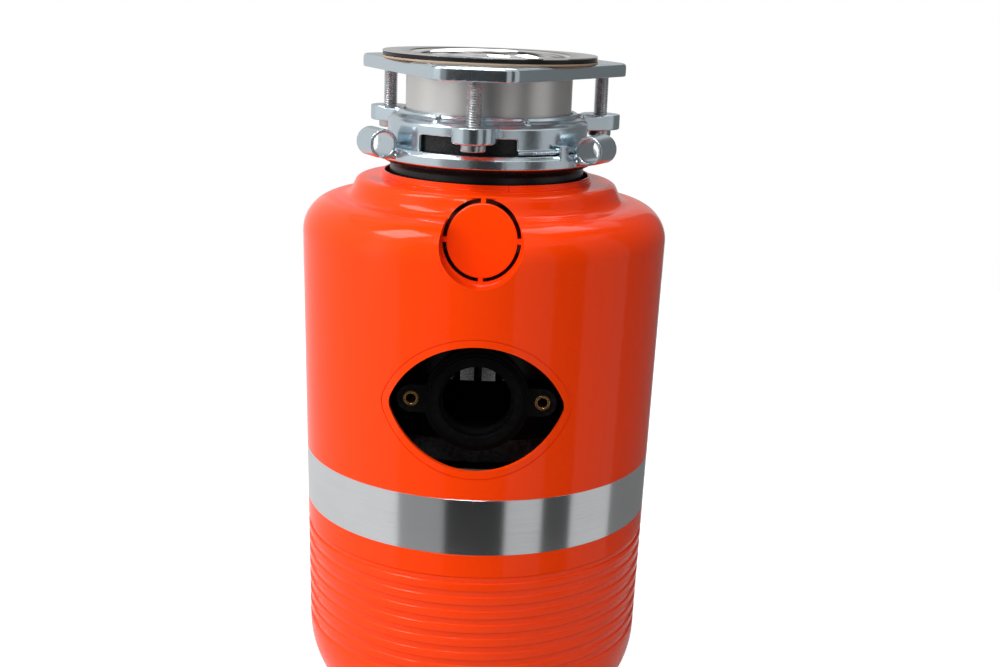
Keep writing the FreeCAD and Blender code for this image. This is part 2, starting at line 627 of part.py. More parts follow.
def makeTrimBand():
    return finish(revolve("trim_band", [
        ("band_low_radius - band_sheet + seat_gap", "band_bottom + seat_gap"),
        ("band_low_radius", "band_bottom + seat_gap"), ("band_top_radius", "band_top - seat_gap"),
        ("band_top_radius - band_sheet + seat_gap", "band_top - seat_gap"),
    ]), "trim_band")


def makeLowerHousing():
    wall = "shell_wall"
    corners = [("band_mid_radius - band_sheet", "band_mid - face_gap / 2"),
               ("band_low_radius - band_sheet", "band_bottom"), ("band_low_radius", "band_bottom")]
    for rib in range(8):
        top = f"rib_first - {rib} * rib_pitch"
        corners += [(taperRadius(top, "rib_step"), top), (taperRadius(top), f"{top} - rib_ledge")]
    centre = "base_centre_radius"
    mouth = f"base_start - sqrt(base_round ^ 2 - (base_opening - {centre}) ^ 2)"
    inside = f"base_start - sqrt((base_round - {wall}) ^ 2 - (base_opening - {centre}) ^ 2)"
    corners += [("foot_radius", "base_start", "base_round", -1), ("base_opening", mouth),
                ("base_opening", inside, f"base_round - {wall}", 1), (f"foot_radius - {wall}", "base_start"),
                (f"band_mid_radius - {wall}", "band_mid - face_gap / 2")]
    ordered = corners[:]
    shell = revolve("lower_shell", ordered)
    spigot = revolve("lower_spigot", [
        (f"band_mid_radius - {wall} - 0.1", "band_mid - 8"), (f"band_mid_radius - {wall} + 0.6", "band_mid - 8"),
        (f"band_mid_radius - {wall} - 0.1", "band_mid - 6"), (f"band_mid_radius - {wall} - 0.15", "band_mid + 5"),
        (f"band_mid_radius - {wall} - 2", "band_mid + 5"), (f"band_mid_radius - {wall} - 2", "band_mid - 6"),
    ])
    return finish(fuse("lower_housing_solid", [shell, spigot]), "lower_housing")


# ---------------------------------------------------------------- grinding chamber

def makeGrindChamber():
    wall = "chamber_wall"
    body = revolve("chamber_shell", [
        (f"neck_radius - {wall}", "lip_top - seat_gap"), ("neck_lip", "lip_top - seat_gap"),
        ("neck_lip", "lip_low + seat_gap"), ("neck_radius", "lip_low + seat_gap"), ("neck_radius", "neck_foot"),
        ("chamber_radius", "cone_foot"), ("chamber_radius", "chamber_floor + rim_thick"),
        ("chamber_rim", "chamber_floor + rim_thick"), ("chamber_rim", "chamber_floor"),
        (f"chamber_radius - {wall}", "chamber_floor"), (f"chamber_radius - {wall}", "cone_foot - 1"),
        (f"neck_radius - {wall}", "neck_foot - 1"),
    ])
    spigot = frontRod("inlet_spigot", "inlet_radius", "52", "knock_depth - 9", "0", "knock_height")
    bore = frontRod("inlet_bore", "inlet_radius - inlet_wall", "40", "knock_depth", "0", "knock_height")
    room = revolve("chamber_room", [
        ("0", "cone_foot - 30"), (f"chamber_radius - {wall}", "cone_foot - 30"),
        (f"chamber_radius - {wall}", "cone_foot - 1"), (f"neck_radius - {wall}", "neck_foot - 1"),
        ("0", "neck_foot - 1")])
    tools = [bore, room] + rimHoles("chamber_hole", "chamber_floor - 1", "chamber_floor + rim_thick + 1")
    return finish(cut("grind_chamber_open", fuse("grind_chamber_solid", [body, spigot]), tools), "grind_chamber")


rimTurns = (30, 90, 150, 210, 270, 330)


def rimHoles(name, low, high):
    return [rod(f"{name}_{number}", "rim_bolt_radius + seat_gap", low, high,
                *circleSpot("rim_bolt_circle", f"{turn}")) for number, turn in enumerate(rimTurns)]


def makeChamberGasket():
    ring = revolve("chamber_gasket_ring", [
        ("drain_outer - 1", "drain_top"), ("chamber_rim", "drain_top"), ("chamber_rim", "gasket_top"),
        ("drain_outer - 1", "gasket_top")])
    return finish(cut("chamber_gasket_cut", ring, rimHoles("gasket_hole", "drain_top - 1", "gasket_top + 1")),
                  "chamber_gasket")


def makeRimBolts():
    bolts = []
    for number, turn in enumerate(rimTurns):
        x, y = circleSpot("rim_bolt_circle", f"{turn}")
        low, top = "drain_top - rim_thick - 3", "chamber_floor + rim_thick"
        bolts.append(fuse(f"rim_bolt_{number}", [
            rod(f"rim_bolt_shank_{number}", "rim_bolt_radius", low, top, x, y),
            rod(f"rim_bolt_head_{number}", "rim_bolt_radius * 1.4", top, f"{top} + 2.6", x, y)]))
    return finish(compound("rim_bolts_group", bolts), "rim_bolts")


def compound(label, items):
    item = document.addObject("Part::Compound", label)
    item.Links = items
    return item


def makeDrainChamber():
    body = revolve("drain_cup", [
        ("seal_radius + seat_gap", "drain_low"), ("drain_outer", "drain_low"),
        ("drain_outer", "drain_top - rim_thick"), ("chamber_rim", "drain_top - rim_thick"),
        ("chamber_rim", "drain_top"), ("drain_inner + 2", "drain_top"),
        ("drain_inner + 2", "chamber_floor - grind_lip"), ("drain_inner", "chamber_floor - grind_lip"),
        ("drain_inner", "drain_floor"),
        ("drain_hub", "drain_floor"), ("drain_hub", "seal_low + seal_high"),
        ("seal_radius + seat_gap", "seal_low + seal_high"),
    ])
    front, height = "port_front", "outlet_height"
    pieces = [body,
              frontRod("port_tube", "port_bore + 4.5", "drain_inner - 6", f"{front} - 1", "0", height),
              frontRod("port_face", "port_ring - 2", f"{front} - 5", f"{front} - 1", "0", height),
              frontRod("port_rim", "port_ring", f"{front} - 7", f"{front} - 2.4", "0", height),
              frontRod("port_lip", "port_ring - 3.5", f"{front} - 3", front, "0", height)]
    for side in ("-", ""):
        name = "left" if side else "right"
        x, radius = f"{side}port_ear", "port_ear_round"
        back = f"{front} - 2.4 - port_ear_thick"
        pieces.append(frontRod(f"port_ear_{name}", radius, back, f"{front} - 2.4", x, height))
        pieces.append(block(f"port_arm_{name}", "port_ear - 10", "port_ear_thick", f"{radius} * 2",
                            f"{side}(port_ear + 10) / 2", f"-({front} - 2.4 - port_ear_thick / 2)",
                            f"{height} - {radius}"))
    keep = fuse("drain_keep", [rod("drain_room", "drain_inner", "drain_floor", "drain_top + 5"),
                               rod("drain_rebate", "drain_inner + 2", "chamber_floor - grind_lip", "drain_top + 5")])
    hub = revolve("drain_hub_body", [("seal_radius + seat_gap", "drain_low"), ("drain_hub", "drain_low"),
                                     ("drain_hub", "seal_low + seal_high"),
                                     ("seal_radius + seat_gap", "seal_low + seal_high")])
    tools = [keep,
             frontRod("port_hole", "port_bore", "drain_inner - 16", f"{front} + 1", "0", height),
             frontRod("port_throat", "port_bore + 1.5", "drain_inner - 20", "drain_inner + 0.4", "0", height),
             frontRod("port_mouth", "port_bore + 1.6", f"{front} - 3", f"{front} + 1", "0", height)]
    for side in ("-", ""):
        name = "left" if side else "right"
        tools.append(frontRod(f"insert_hole_{name}", "insert_radius + seat_gap / 2", "port_front - 2.4 - insert_long",
                              "port_front", f"{side}port_ear", height))
    tools += rimHoles("drain_hole", "drain_top - rim_thick - 1", "drain_top + 1")
    cup = cut("drain_cup_open", fuse("drain_cup_solid", pieces), tools)
    return finish(fuse("drain_chamber_solid", [cup, hub]), "drain_chamber")


def makeInserts():
    inserts = []
    for side in ("-", ""):
        name = "left" if side else "right"
        spot = (f"{side}port_ear", "outlet_height")
        near, far = "port_front - 2.4 - insert_long", "port_front - 2.2"
        inserts.append(cut(f"insert_{name}", frontRod(f"insert_body_{name}", "insert_radius", near, far, *spot),
                           [frontRod(f"insert_bore_{name}", "insert_bore", f"{near} - 1", f"{far} + 1", *spot)]))
    return finish(compound("insert_group", inserts), "outlet_inserts")


def makeGrindRing():
    body = revolve("grind_ring_wall", [
        ("ring_inner", "grind_bottom"), ("grind_outer", "grind_bottom"),
        ("grind_outer", "chamber_floor - grind_lip"), ("grind_outer + 2", "chamber_floor - grind_lip"),
        ("grind_outer + 2", "chamber_floor"), ("ring_inner", "chamber_floor")])
    slot = newBody("grind_slots")
    sketch = sketchOn(slot, "XY_Plane", "grind_bottom - 1")
    outline(sketch, [("-tooth_slot / 2", "-(grind_outer + 2)"), ("tooth_slot / 2", "-(grind_outer + 2)"),
                     ("tooth_slot / 2", "-(ring_inner - 2)"), ("-tooth_slot / 2", "-(ring_inner - 2)")])
    around(slot, [extrude(slot, sketch, "tooth_high + 1")], "tooth_count")
    return finish(cut("grind_ring_cut", body, [slot]), "grind_ring")


def makeTurntable():
    body = revolve("turntable_disc", [
        ("shaft_top_radius + shaft_fit", "table_low - 8"), ("hub_radius", "table_low - 8"),
        ("hub_radius", "table_low"), ("table_radius", "table_low"), ("table_radius", "table_top - 0.6"),
        ("table_radius - 0.6", "table_top"), ("shaft_top_radius + shaft_fit", "table_top")])
    holes = [rod(f"pin_hole_{side}", "pin_radius + shaft_fit", "table_low - 1", "table_top + 1",
                 f"{side}impeller_circle") for side in ("", "-")]
    return finish(cut("turntable_cut", body, holes), "turntable")


def makeImpeller(number, side):
    """A hardened bar that swings on its pin."""
    name = f"impeller_{number}"
    low, high = "table_top + face_gap", "table_top + face_gap + impeller_high"
    body = newBody(f"{name}_bar")
    sketch = sketchOn(body, "XY_Plane", low)
    middle, half, reach = f"{side}impeller_circle", "impeller_half", "impeller_long - impeller_half"
    outline(sketch, [(f"{middle} + {half}", f"-({reach})"), (f"{middle} + {half}", reach, half, 1),
                     (f"{middle} - {half} * 0.995", reach), (f"{middle} - {half}", f"-({reach})")])
    extrude(body, sketch, "impeller_high")
    hole = rod(f"{name}_hole", "pin_radius + 0.08", low + " - 1", high + " + 1", middle)
    return finish(cut(f"{name}_cut", body, [hole]), name)


def makePins():
    pins = []
    for side in ("", "-"):
        name = "left" if side else "right"
        x = f"{side}impeller_circle"
        head = "table_top + 2 * face_gap + impeller_high"
        pins.append(fuse(f"pin_{name}", [
            rod(f"pin_shank_{name}", "pin_radius", "table_low", f"{head} + 1", x),
            rod(f"pin_head_{name}", "pin_head", head, f"{head} + 2", x),
            rod(f"pin_foot_{name}", "pin_head", "table_low - 1.6", "table_low", x)]))
    return finish(compound("pin_group", pins), "impeller_pins")


def hexagon(sketch, across):
    """A hexagon of the given width across its flats."""
    corner = f"({across}) / 2 / cos(30)"
    outline(sketch, [circleSpot(corner, f"{turn}") for turn in range(0, 360, 60)])


def makeNut():
    body = newBody("turntable_nut_hex")
    sketch = sketchOn(body, "XY_Plane", "table_top")
    hexagon(sketch, "nut_across")
    extrude(body, sketch, "nut_high")
    bore = rod("nut_bore", "shaft_top_radius + shaft_fit", "table_top - 1", "table_top + nut_high + 1")
    return finish(cut("turntable_nut_cut", body, [bore]), "turntable_nut")


# ---------------------------------------------------------------- shaft, seal and motor

def makeShaft():
    step = "table_low - 8"
    body = revolve("shaft_body", [
        ("0", "cover_top + 3"), ("shaft_foot_radius", "cover_top + 3"),
        ("shaft_foot_radius", "low_frame_top + 4"), ("shaft_radius", "low_frame_top + 4"),
        ("shaft_radius", step), ("shaft_top_radius", step), ("shaft_top_radius", "table_top + nut_high + 3"),
        ("0", "table_top + nut_high + 3")])
    socket = newBody("shaft_socket")
    sketch = sketchOn(socket, "XY_Plane", "cover_top + 2")
    hexagon(sketch, "6.4")
    extrude(socket, sketch, "8")
    return finish(cut("motor_shaft_cut", body, [socket]), "motor_shaft")


def makeMotor():
    washer("shaft_seal", "shaft_radius + shaft_fit", "seal_radius", "seal_low", "seal_low + seal_high")
    top = "frame_top"
    washer("upper_bearing", "shaft_radius + shaft_fit", "bearing_radius", f"{top} - bearing_high - 2", f"{top} - 2")
    low = "low_bearing_low"
    washer("lower_bearing", "shaft_foot_radius + shaft_fit", "low_bearing_radius", low, f"{low} + low_bearing_high")
    washer("rotor_core", "shaft_radius + shaft_fit", "rotor_radius", "core_bottom - 2", "core_top + 2")
    makeStator()
    makeWindings()
    makeFrames()
    makeThroughBolts()


def makeStator():
    core = revolve("stator_ring", [
        ("core_bore", "core_bottom"), ("core_radius", "core_bottom"), ("core_radius", "core_top"),
        ("core_bore", "core_top")])
    slots = newBody("stator_slots")
    sketch = sketchOn(slots, "XY_Plane", "core_bottom - 1")
    outline(sketch, [("-1.2", "-(core_bore - 1)"), ("1.2", "-(core_bore - 1)"), ("1.2", "-(core_bore + 2)"),
                     ("3", "-(core_bore + 4)"), ("4.2", "-(winding_radius - 6)"), ("-4.2", "-(winding_radius - 6)"),
                     ("-3", "-(core_bore + 4)"), ("-1.2", "-(core_bore + 2)")][::-1])
    around(slots, [extrude(slots, sketch, "core_top - core_bottom + 2")], "slot_count")
    return finish(cut("stator_core_cut", core, [slots]), "stator_core")


def makeWindings():
    """The end turns above and below the core."""
    ends = []
    for name, low, high in (("upper", "core_top", "core_top + winding_high"),
                            ("lower", "core_bottom - winding_high", "core_bottom")):
        ends.append(revolve(f"end_turns_{name}", [
            ("core_bore + 4", low), ("winding_radius", low), ("winding_radius", f"{high} - 0"),
            ("core_bore + 4", high)]))
    return finish(compound("winding_group", ends), "stator_windings")


def boltHoles(name, low, high):
    return [rod(f"{name}_{turn}", "bolt_radius + seat_gap", low, high, *circleSpot("bolt_circle", f"{turn}"))
            for turn in (45, 135, 225, 315)]


def makeFrames():
    upper = revolve("upper_frame_body", [
        ("bearing_radius + shaft_fit", "frame_top - bearing_high - 2"),
        ("bearing_radius + shaft_fit", "frame_top"),
        ("frame_radius", "frame_top"), ("frame_radius", "plate_frame_low"), ("core_radius + 2", "plate_frame_low"),
        ("core_radius + 2", "core_top"), ("winding_radius + 1.5", "core_top"),
        ("winding_radius + 1.5", "plate_frame_low + 3"), ("bearing_radius + 6", "plate_frame_low + 3"),
        ("bearing_radius + 6", "frame_top - bearing_high - 5"),
        ("shaft_radius + 2", "frame_top - bearing_high - 5"),
        ("shaft_radius + 2", "frame_top - bearing_high - 2")])
    finish(cut("upper_frame_cut", upper, boltHoles("upper_bolt_hole", "plate_frame_low - 1", "frame_top + 1")),
           "upper_end_frame")
    lower = revolve("lower_frame_body", [
        ("low_bearing_radius + shaft_fit", "low_bearing_low"),
        ("shaft_foot_radius + 2", "low_bearing_low"), ("shaft_foot_radius + 2", "low_hub_foot"),
        ("low_hub", "low_hub_foot"), ("low_hub", "low_plate_low"), ("frame_radius", "low_plate_low"),
        ("frame_radius", "low_frame_top"), ("core_radius + 2", "low_frame_top"), ("core_radius + 2", "core_bottom"),
        ("winding_radius + 1.5", "core_bottom"), ("winding_radius + 1.5", "low_frame_top"),
        ("low_bearing_radius + shaft_fit", "low_frame_top")])
    legs = [rod(f"leg_{number}", "leg_radius", "cover_top", "low_plate_low + 1", *legSpot(number))
            for number in range(3)]
    holes = [rod(f"leg_hole_{number}", "leg_screw_radius + shaft_fit", "cover_top - 1", "cover_top + 14",
                 *legSpot(number)) for number in range(3)]
    holes += boltHoles("lower_bolt_hole", "low_plate_low - 1", "low_frame_top + 1")
    finish(cut("lower_frame_cut", fuse("lower_frame_solid", [lower] + legs), holes), "lower_end_frame")


def legSpot(number):
    return circleSpot("leg_circle", f"{120 * number}")


def makeThroughBolts():
    bolts = []
    for turn in (45, 135, 225, 315):
        x, y = circleSpot("bolt_circle", f"{turn}")
        bolts.append(fuse(f"through_bolt_{turn}", [
            rod(f"through_shank_{turn}", "bolt_radius", "low_plate_low - 3", "frame_top - 1", x, y),
            rod(f"through_head_{turn}", "bolt_radius * 1.8", "low_plate_low - 3", "low_plate_low", x, y)]))
    return finish(compound("through_bolt_group", bolts), "through_bolts")


# ---------------------------------------------------------------- base: cover, feet, button, gland, capacitor

def makeBaseCover():
    centre, arc = "base_centre_radius", "base_round - shell_wall - face_gap"
    lip = "base_opening + 9"
    rest = f"base_start - sqrt(({arc}) ^ 2 - (cover_edge - {centre}) ^ 2)"
    out = f"base_start - sqrt(({arc}) ^ 2 - ({lip} - {centre}) ^ 2)"
    body = revolve("cover_body", [
        ("wrench_hole", "cover_low"), ("cover_edge", "cover_low"), ("cover_edge", rest, arc, 1),
        (lip, out), (f"{lip} - 2", f"{out} + 2.4"), ("cover_edge", "cover_top"), ("wrench_hole", "cover_top")])
    holes = []
    for number in range(3):
        x, y = legSpot(number)
        holes.append(rod(f"cover_hole_{number}", "leg_screw_radius + 0.2", "cover_low - 1", "cover_top + 1", x, y))
        holes.append(rod(f"cover_sink_{number}", "leg_screw_radius * 2 + 0.4", "cover_low - 1", "cover_low + 2.4",
                         x, y))
    holes.append(rod("button_hole", "button_radius + face_gap", "cover_low - 1", "cover_top + 1", "button_x",
                     "button_y"))
    holes.append(rod("gland_hole", "gland_body + seat_gap", "cover_low - 1", "cover_top + 1", "gland_x", "gland_y"))
    return finish(cut("base_cover_cut", body, holes), "base_cover")


def makeBaseScrews():
    screws = []
    for number in range(3):
        x, y = legSpot(number)
        screws.append(fuse(f"base_screw_{number}", [
            rod(f"base_shank_{number}", "leg_screw_radius", "cover_low + 0.3", "cover_top + 13", x, y),
            rod(f"base_head_{number}", "leg_screw_radius * 2", "cover_low + 0.3", "cover_low + 2.4", x, y)]))
    return finish(compound("base_screw_group", screws), "base_screws")


def makeFeet():
    feet = [rod(f"foot_{number}", "foot_pad_radius", "0", "foot_height",
                *circleSpot("foot_circle", f"{60 + 120 * number}")) for number in range(3)]
    return finish(compound("feet_group", feet), "rubber_feet")


def makeReset():
    x, y, low = "button_x", "button_y", "cover_low + 0.5"
    button = fuse("reset_button_solid", [
        rod("button_cap", "button_radius", low, f"{low} + button_long", x, y),
        rod("button_stem", "button_radius / 2", low, f"{low} + button_long + 5", x, y)])
    finish(button, "reset_button")
    case = block("protector_case", "26", "20", "24", x, f"{y} + 2", "cover_top")
    bores = [rod("protector_well", "button_radius + face_gap", "cover_top - 1", f"{low} + button_long + 0.6", x, y),
             rod("protector_bore", "button_radius / 2 + face_gap", "cover_top - 1", f"{low} + button_long + 5.6",
                 x, y)]
    finish(cut("overload_protector_cut", case, bores), "overload_protector")


def makeGland():
    body = fuse("gland_solid", [
        rod("gland_low", "gland_flange", "cover_low - 1.6", "cover_low", "gland_x", "gland_y"),
        rod("gland_middle", "gland_body", "cover_low - 1.6", "cover_top + 2", "gland_x", "gland_y"),
        rod("gland_high", "gland_flange", "cover_top", "cover_top + 2", "gland_x", "gland_y")])
    bore = rod("gland_hole_through", "gland_bore", "cover_low - 3", "cover_top + 3", "gland_x", "gland_y")
    return finish(cut("cord_gland_cut", body, [bore]), "cord_gland")


def makeElectrics():
    finish(block("terminal_block", "24", "14", "12", "gland_x - 8", "gland_y + 24", "cover_top"), "terminal_block")
    across = "capacitor_long / 2"
    can = document.addObject("Part::Cylinder", "run_capacitor")
    bind(can, Radius="capacitor_radius", Height="capacitor_long")
    place(can, f"-{across}", "capacitor_y", "capacitor_mid", sideways)
    finish(can, "run_capacitor")
    strap = document.addObject("Part::Cylinder", "clip_outer")
    bind(strap, Radius="capacitor_radius + seat_gap + clip_sheet", Height="clip_wide")
    place(strap, "-clip_wide / 2", "capacitor_y", "capacitor_mid", sideways)
    hole = document.addObject("Part::Cylinder", "clip_inner")
    bind(hole, Radius="capacitor_radius + seat_gap", Height="clip_wide + 2")
    place(hole, "-clip_wide / 2 - 1", "capacitor_y", "capacitor_mid", sideways)
    foot = block("clip_foot", "clip_wide", "capacitor_radius * 2 - 4", "clip_sheet * 1.5", "0", "capacitor_y", "cover_top")
    finish(cut("capacitor_clip_cut", fuse("clip_solid", [strap, foot]), [hole]), "capacitor_clip")


# ---------------------------------------------------------------- sound insulation

def makeInsulation():
    inner = "chamber_rim + 1"
    body = revolve("foam_body", [
        (inner, "foam_bottom"), ("foam_outer", "foam_bottom"), ("foam_outer", "foam_top"), (inner, "foam_top")])
    window = block("foam_window", "window_wide * 2 + 8", "80", "window_high * 2 + 8", "0", "-90",
                   "outlet_height - window_high - 4")
    knock = block("foam_knock", "knock_recess * 2 + 8", "80", "80", "0", "-90", "knock_height - knock_recess - 8")
    return finish(cut("insulation_cut", body, [window, knock]), "sound_insulation")


def build():
    makeSinkFlange()
    washer("rim_gasket", "gasket_bore", "flange_radius - 0.2", "rim_gasket_low", "rim_gasket_top")
    washer("fibre_gasket", "sleeve_radius + 4", "flange_radius", "plate_top", "fibre_top")
    makeBackupFlange()
    for number, turn in enumerate((0, 120, -120), start=1):
        makeScrew(number, turn)
    makeSnapRing()
    makeMountingRing()
    makeSwivelRing()
    makeCushion()
    makeBaffle()
    makeCollar()
    makeUpperHousing()
    makeTrimBand()
    makeLowerHousing()
    makeGrindChamber()
    makeChamberGasket()
    makeRimBolts()
    makeDrainChamber()
    makeInserts()
    makeGrindRing()
    makeTurntable()
    makeImpeller(1, "")
    makeImpeller(2, "-")
    makePins()
    makeNut()
    makeShaft()
    makeMotor()
    makeBaseCover()
    makeBaseScrews()
    makeFeet()
    makeReset()
    makeGland()
    makeElectrics()
    makeInsulation()


def checkAndExport():
    document.recompute()
    for item in document.Objects:
        if {"Invalid", "Error"} & set(item.State):
            raise RuntimeError(f"{item.Name} failed to compute: {item.State}")
    for item in finished:
        shape = item.Shape
        if shape.isNull() or not shape.isValid() or not shape.Solids:
            raise RuntimeError(f"{item.Label} has no valid solid")
        print(f"{item.Label:20s} solids {len(shape.Solids)} volume {shape.Volume / 1000:9.2f} cm3")
    for item in finished:
        item.Shape.exportStep(f"parts/{item.Label}.step")


build()
checkAndExport()
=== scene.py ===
import json
import math

import bmesh
import bpy
import numpy as np
from mathutils import Matrix, Vector


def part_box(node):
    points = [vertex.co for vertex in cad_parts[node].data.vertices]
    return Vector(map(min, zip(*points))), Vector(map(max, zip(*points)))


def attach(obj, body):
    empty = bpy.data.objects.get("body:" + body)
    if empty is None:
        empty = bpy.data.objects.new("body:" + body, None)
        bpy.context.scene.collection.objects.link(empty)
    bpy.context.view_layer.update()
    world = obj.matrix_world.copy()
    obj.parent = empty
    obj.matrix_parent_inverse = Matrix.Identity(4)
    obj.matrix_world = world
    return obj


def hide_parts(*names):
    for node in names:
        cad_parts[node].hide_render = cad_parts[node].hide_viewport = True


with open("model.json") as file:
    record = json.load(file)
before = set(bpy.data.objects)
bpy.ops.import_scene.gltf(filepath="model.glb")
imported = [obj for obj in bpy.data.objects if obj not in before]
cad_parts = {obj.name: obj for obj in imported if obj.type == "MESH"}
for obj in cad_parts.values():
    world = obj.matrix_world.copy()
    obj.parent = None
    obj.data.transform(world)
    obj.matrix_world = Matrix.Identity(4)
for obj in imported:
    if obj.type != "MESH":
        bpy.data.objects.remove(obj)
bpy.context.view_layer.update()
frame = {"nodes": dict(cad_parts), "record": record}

mm = 0.001
nodes = frame["nodes"]
bodies = frame["record"]["behaviour"]["bodies"]
bodyOf = {node: body for body, members in bodies.items() for node in members}


def nodeBox(name):
    low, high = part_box(name)
    return low / mm, high / mm  # in millimetres, like every size below


# heights that the pieces share, read from the frame
rimTop = nodeBox("sink_flange")[1].z
bandLow, bandHigh = nodeBox("trim_band")
print("frame loaded,", len(nodes), "nodes")


def newObject(name, verts, faces, material=None, sharp=35):
    mesh = bpy.data.meshes.new(name)
    mesh.from_pydata([Vector(v) * mm for v in verts], [], faces)
    mesh.validate()
    obj = bpy.data.objects.new(name, mesh)
    bpy.context.scene.collection.objects.link(obj)
    if material:
        mesh.materials.append(material)
    shade(obj, sharp)
    return obj


def shade(obj, sharp=35):
    mesh = obj.data
    mesh.polygons.foreach_set("use_smooth", [True] * len(mesh.polygons))
    if sharp:
        mesh.set_sharp_from_angle(angle=math.radians(sharp))
    mesh.update()


def fixNormals(obj):
    work = bmesh.new()
    work.from_mesh(obj.data)
    bmesh.ops.remove_doubles(work, verts=work.verts, dist=1e-6)
    bmesh.ops.recalc_face_normals(work, faces=work.faces)
    work.to_mesh(obj.data)
    work.free()
    obj.data.update()


# evaluated mesh in place of the modifiers
def bake(obj):
    bpy.context.view_layer.update()
    graph = bpy.context.evaluated_depsgraph_get()
    mesh = bpy.data.meshes.new_from_object(obj.evaluated_get(graph))
    obj.modifiers.clear()
    old = obj.data
    obj.data = mesh
    if old.users == 0:
        bpy.data.meshes.remove(old)
    return obj


# one object out of several
def joinInto(name, parts):
    work = bmesh.new()
    slots = []
    for part in parts:
        start = len(work.faces)
        work.from_mesh(part.data)
        work.faces.ensure_lookup_table()
        for material in part.data.materials:
            if material not in slots:
                slots.append(material)
        for face in work.faces[start:]:
            old = part.data.materials[face.material_index] if part.data.materials else None
            face.material_index = slots.index(old) if old else 0
    mesh = bpy.data.meshes.new(name)
    work.to_mesh(mesh)
    work.free()
    for material in slots:
        mesh.materials.append(material)
    obj = bpy.data.objects.new(name, mesh)
    bpy.context.scene.collection.objects.link(obj)
    for part in parts:
        bpy.data.objects.remove(part)
    return obj


# outline through corners (x, y, fillet radius); fillets become arcs
def rounded(corners, closed=True, step=12):
    out = []
    count = len(corners)
    for i, corner in enumerate(corners):
        here = Vector(corner[:2])
        radius = corner[2] if len(corner) > 2 else 0
        if radius <= 0 or (not closed and i in (0, count - 1)):
            out.append(tuple(here))
            continue
        back = (Vector(corners[i - 1][:2]) - here).normalized()
        ahead = (Vector(corners[(i + 1) % count][:2]) - here).normalized()
        turn = back.angle(ahead)
        if math.pi - turn < 0.02:
            out.append(tuple(here))
            continue
        reach = radius / math.tan(turn / 2)
        centre = here + (back + ahead).normalized() * (radius / math.sin(turn / 2))
        start, end = here + back * reach - centre, here + ahead * reach - centre
        sweep = start.angle_signed(end)
        pieces = max(2, int(math.ceil(abs(math.degrees(sweep)) / step)))
        for k in range(pieces + 1):
            angle = -sweep * k / pieces
            out.append((centre.x + start.x * math.cos(angle) - start.y * math.sin(angle),
                        centre.y + start.x * math.sin(angle) + start.y * math.cos(angle)))
    return out


# closed profile of (radius, height) turned about the axis
def lathe(name, profile, material, segments=180, sharp=35):
    verts, faces = [], []
    count = len(profile)
    for k in range(segments):
        angle = 2 * math.pi * k / segments
        verts += [(r * math.sin(angle), -r * math.cos(angle), z) for r, z in profile]
    for k in range(segments):
        a, b = k * count, ((k + 1) % segments) * count
        faces += [(a + i, b + i, b + (i + 1) % count, a + (i + 1) % count) for i in range(count)]
    obj = newObject(name, verts, faces, material, None)
    fixNormals(obj)
    shade(obj, sharp)
    return obj


def ringWall(name, inner, outer, low, high, material, soft=0.3, segments=180):
    return lathe(name, rounded([(inner, low, soft), (outer, low, soft), (outer, high, soft),
                                (inner, high, soft)]), material, segments)


# the piece stands for a CAD node and moves with its body
def place(obj, node):
    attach(obj, bodyOf[node])
    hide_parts(node)
    return obj


# a merged copy of a CAD node's mesh, free to be changed
def copyOf(name, node):
    mesh = nodes[node].data.copy()
    obj = bpy.data.objects.new(name, mesh)
    bpy.context.scene.collection.objects.link(obj)
    work = bmesh.new()
    work.from_mesh(mesh)
    bmesh.ops.remove_doubles(work, verts=work.verts, dist=2e-6)
    work.to_mesh(mesh)
    work.free()
    mesh.materials.clear()
    return obj


def groupTree(name, inputs, outputs):
    tree = bpy.data.node_groups.new(name, "ShaderNodeTree")
    for label, kind, default in inputs:
        tree.interface.new_socket(label, in_out="INPUT", socket_type=kind).default_value = default
    for label, kind in outputs:
        tree.interface.new_socket(label, in_out="OUTPUT", socket_type=kind)
    return tree, tree.nodes.new("NodeGroupInput"), tree.nodes.new("NodeGroupOutput")


# a node with some inputs set by name or, as n0 and n1, by position
def addNode(tree, kind, **sockets):
    node = tree.nodes.new(kind)
    for key, value in sockets.items():
        socket = node.inputs[int(key[1:])] if key[1:].isdigit() else node.inputs[key.replace("_", " ")]
        if isinstance(value, bpy.types.NodeSocket):
            tree.links.new(value, socket)
        else:
            socket.default_value = value
    return node


def addMath(tree, operation, a, b=0.0, clamp=False):
    node = addNode(tree, "ShaderNodeMath", n0=a, n1=b)
    node.operation = operation
    node.use_clamp = clamp
    return node.outputs[0]


# fine grain, stretched by a scale per axis, and slow drift, from one pair of noises
def makeGrainGroup():
    tree, start, end = groupTree("surfaceGrain", [
        ("Vector", "NodeSocketVector", (0, 0, 0)), ("Stretch", "NodeSocketVector", (1, 1, 1)),
        ("Fine", "NodeSocketFloat", 900.0), ("Slow", "NodeSocketFloat", 30.0)],
        [("Grain", "NodeSocketFloat"), ("Drift", "NodeSocketFloat")])
    scaled = addNode(tree, "ShaderNodeVectorMath", n0=start.outputs["Vector"], n1=start.outputs["Stretch"])
    scaled.operation = "MULTIPLY"
    fine = addNode(tree, "ShaderNodeTexNoise", Vector=scaled.outputs[0], Scale=start.outputs["Fine"],
                   Detail=3.0)
    slow = addNode(tree, "ShaderNodeTexNoise", Vector=start.outputs["Vector"], Scale=start.outputs["Slow"],
                   Detail=4.0, Distortion=0.4)
    tree.links.new(fine.outputs["Fac"], end.inputs["Grain"])
    tree.links.new(slow.outputs["Fac"], end.inputs["Drift"])
    return tree


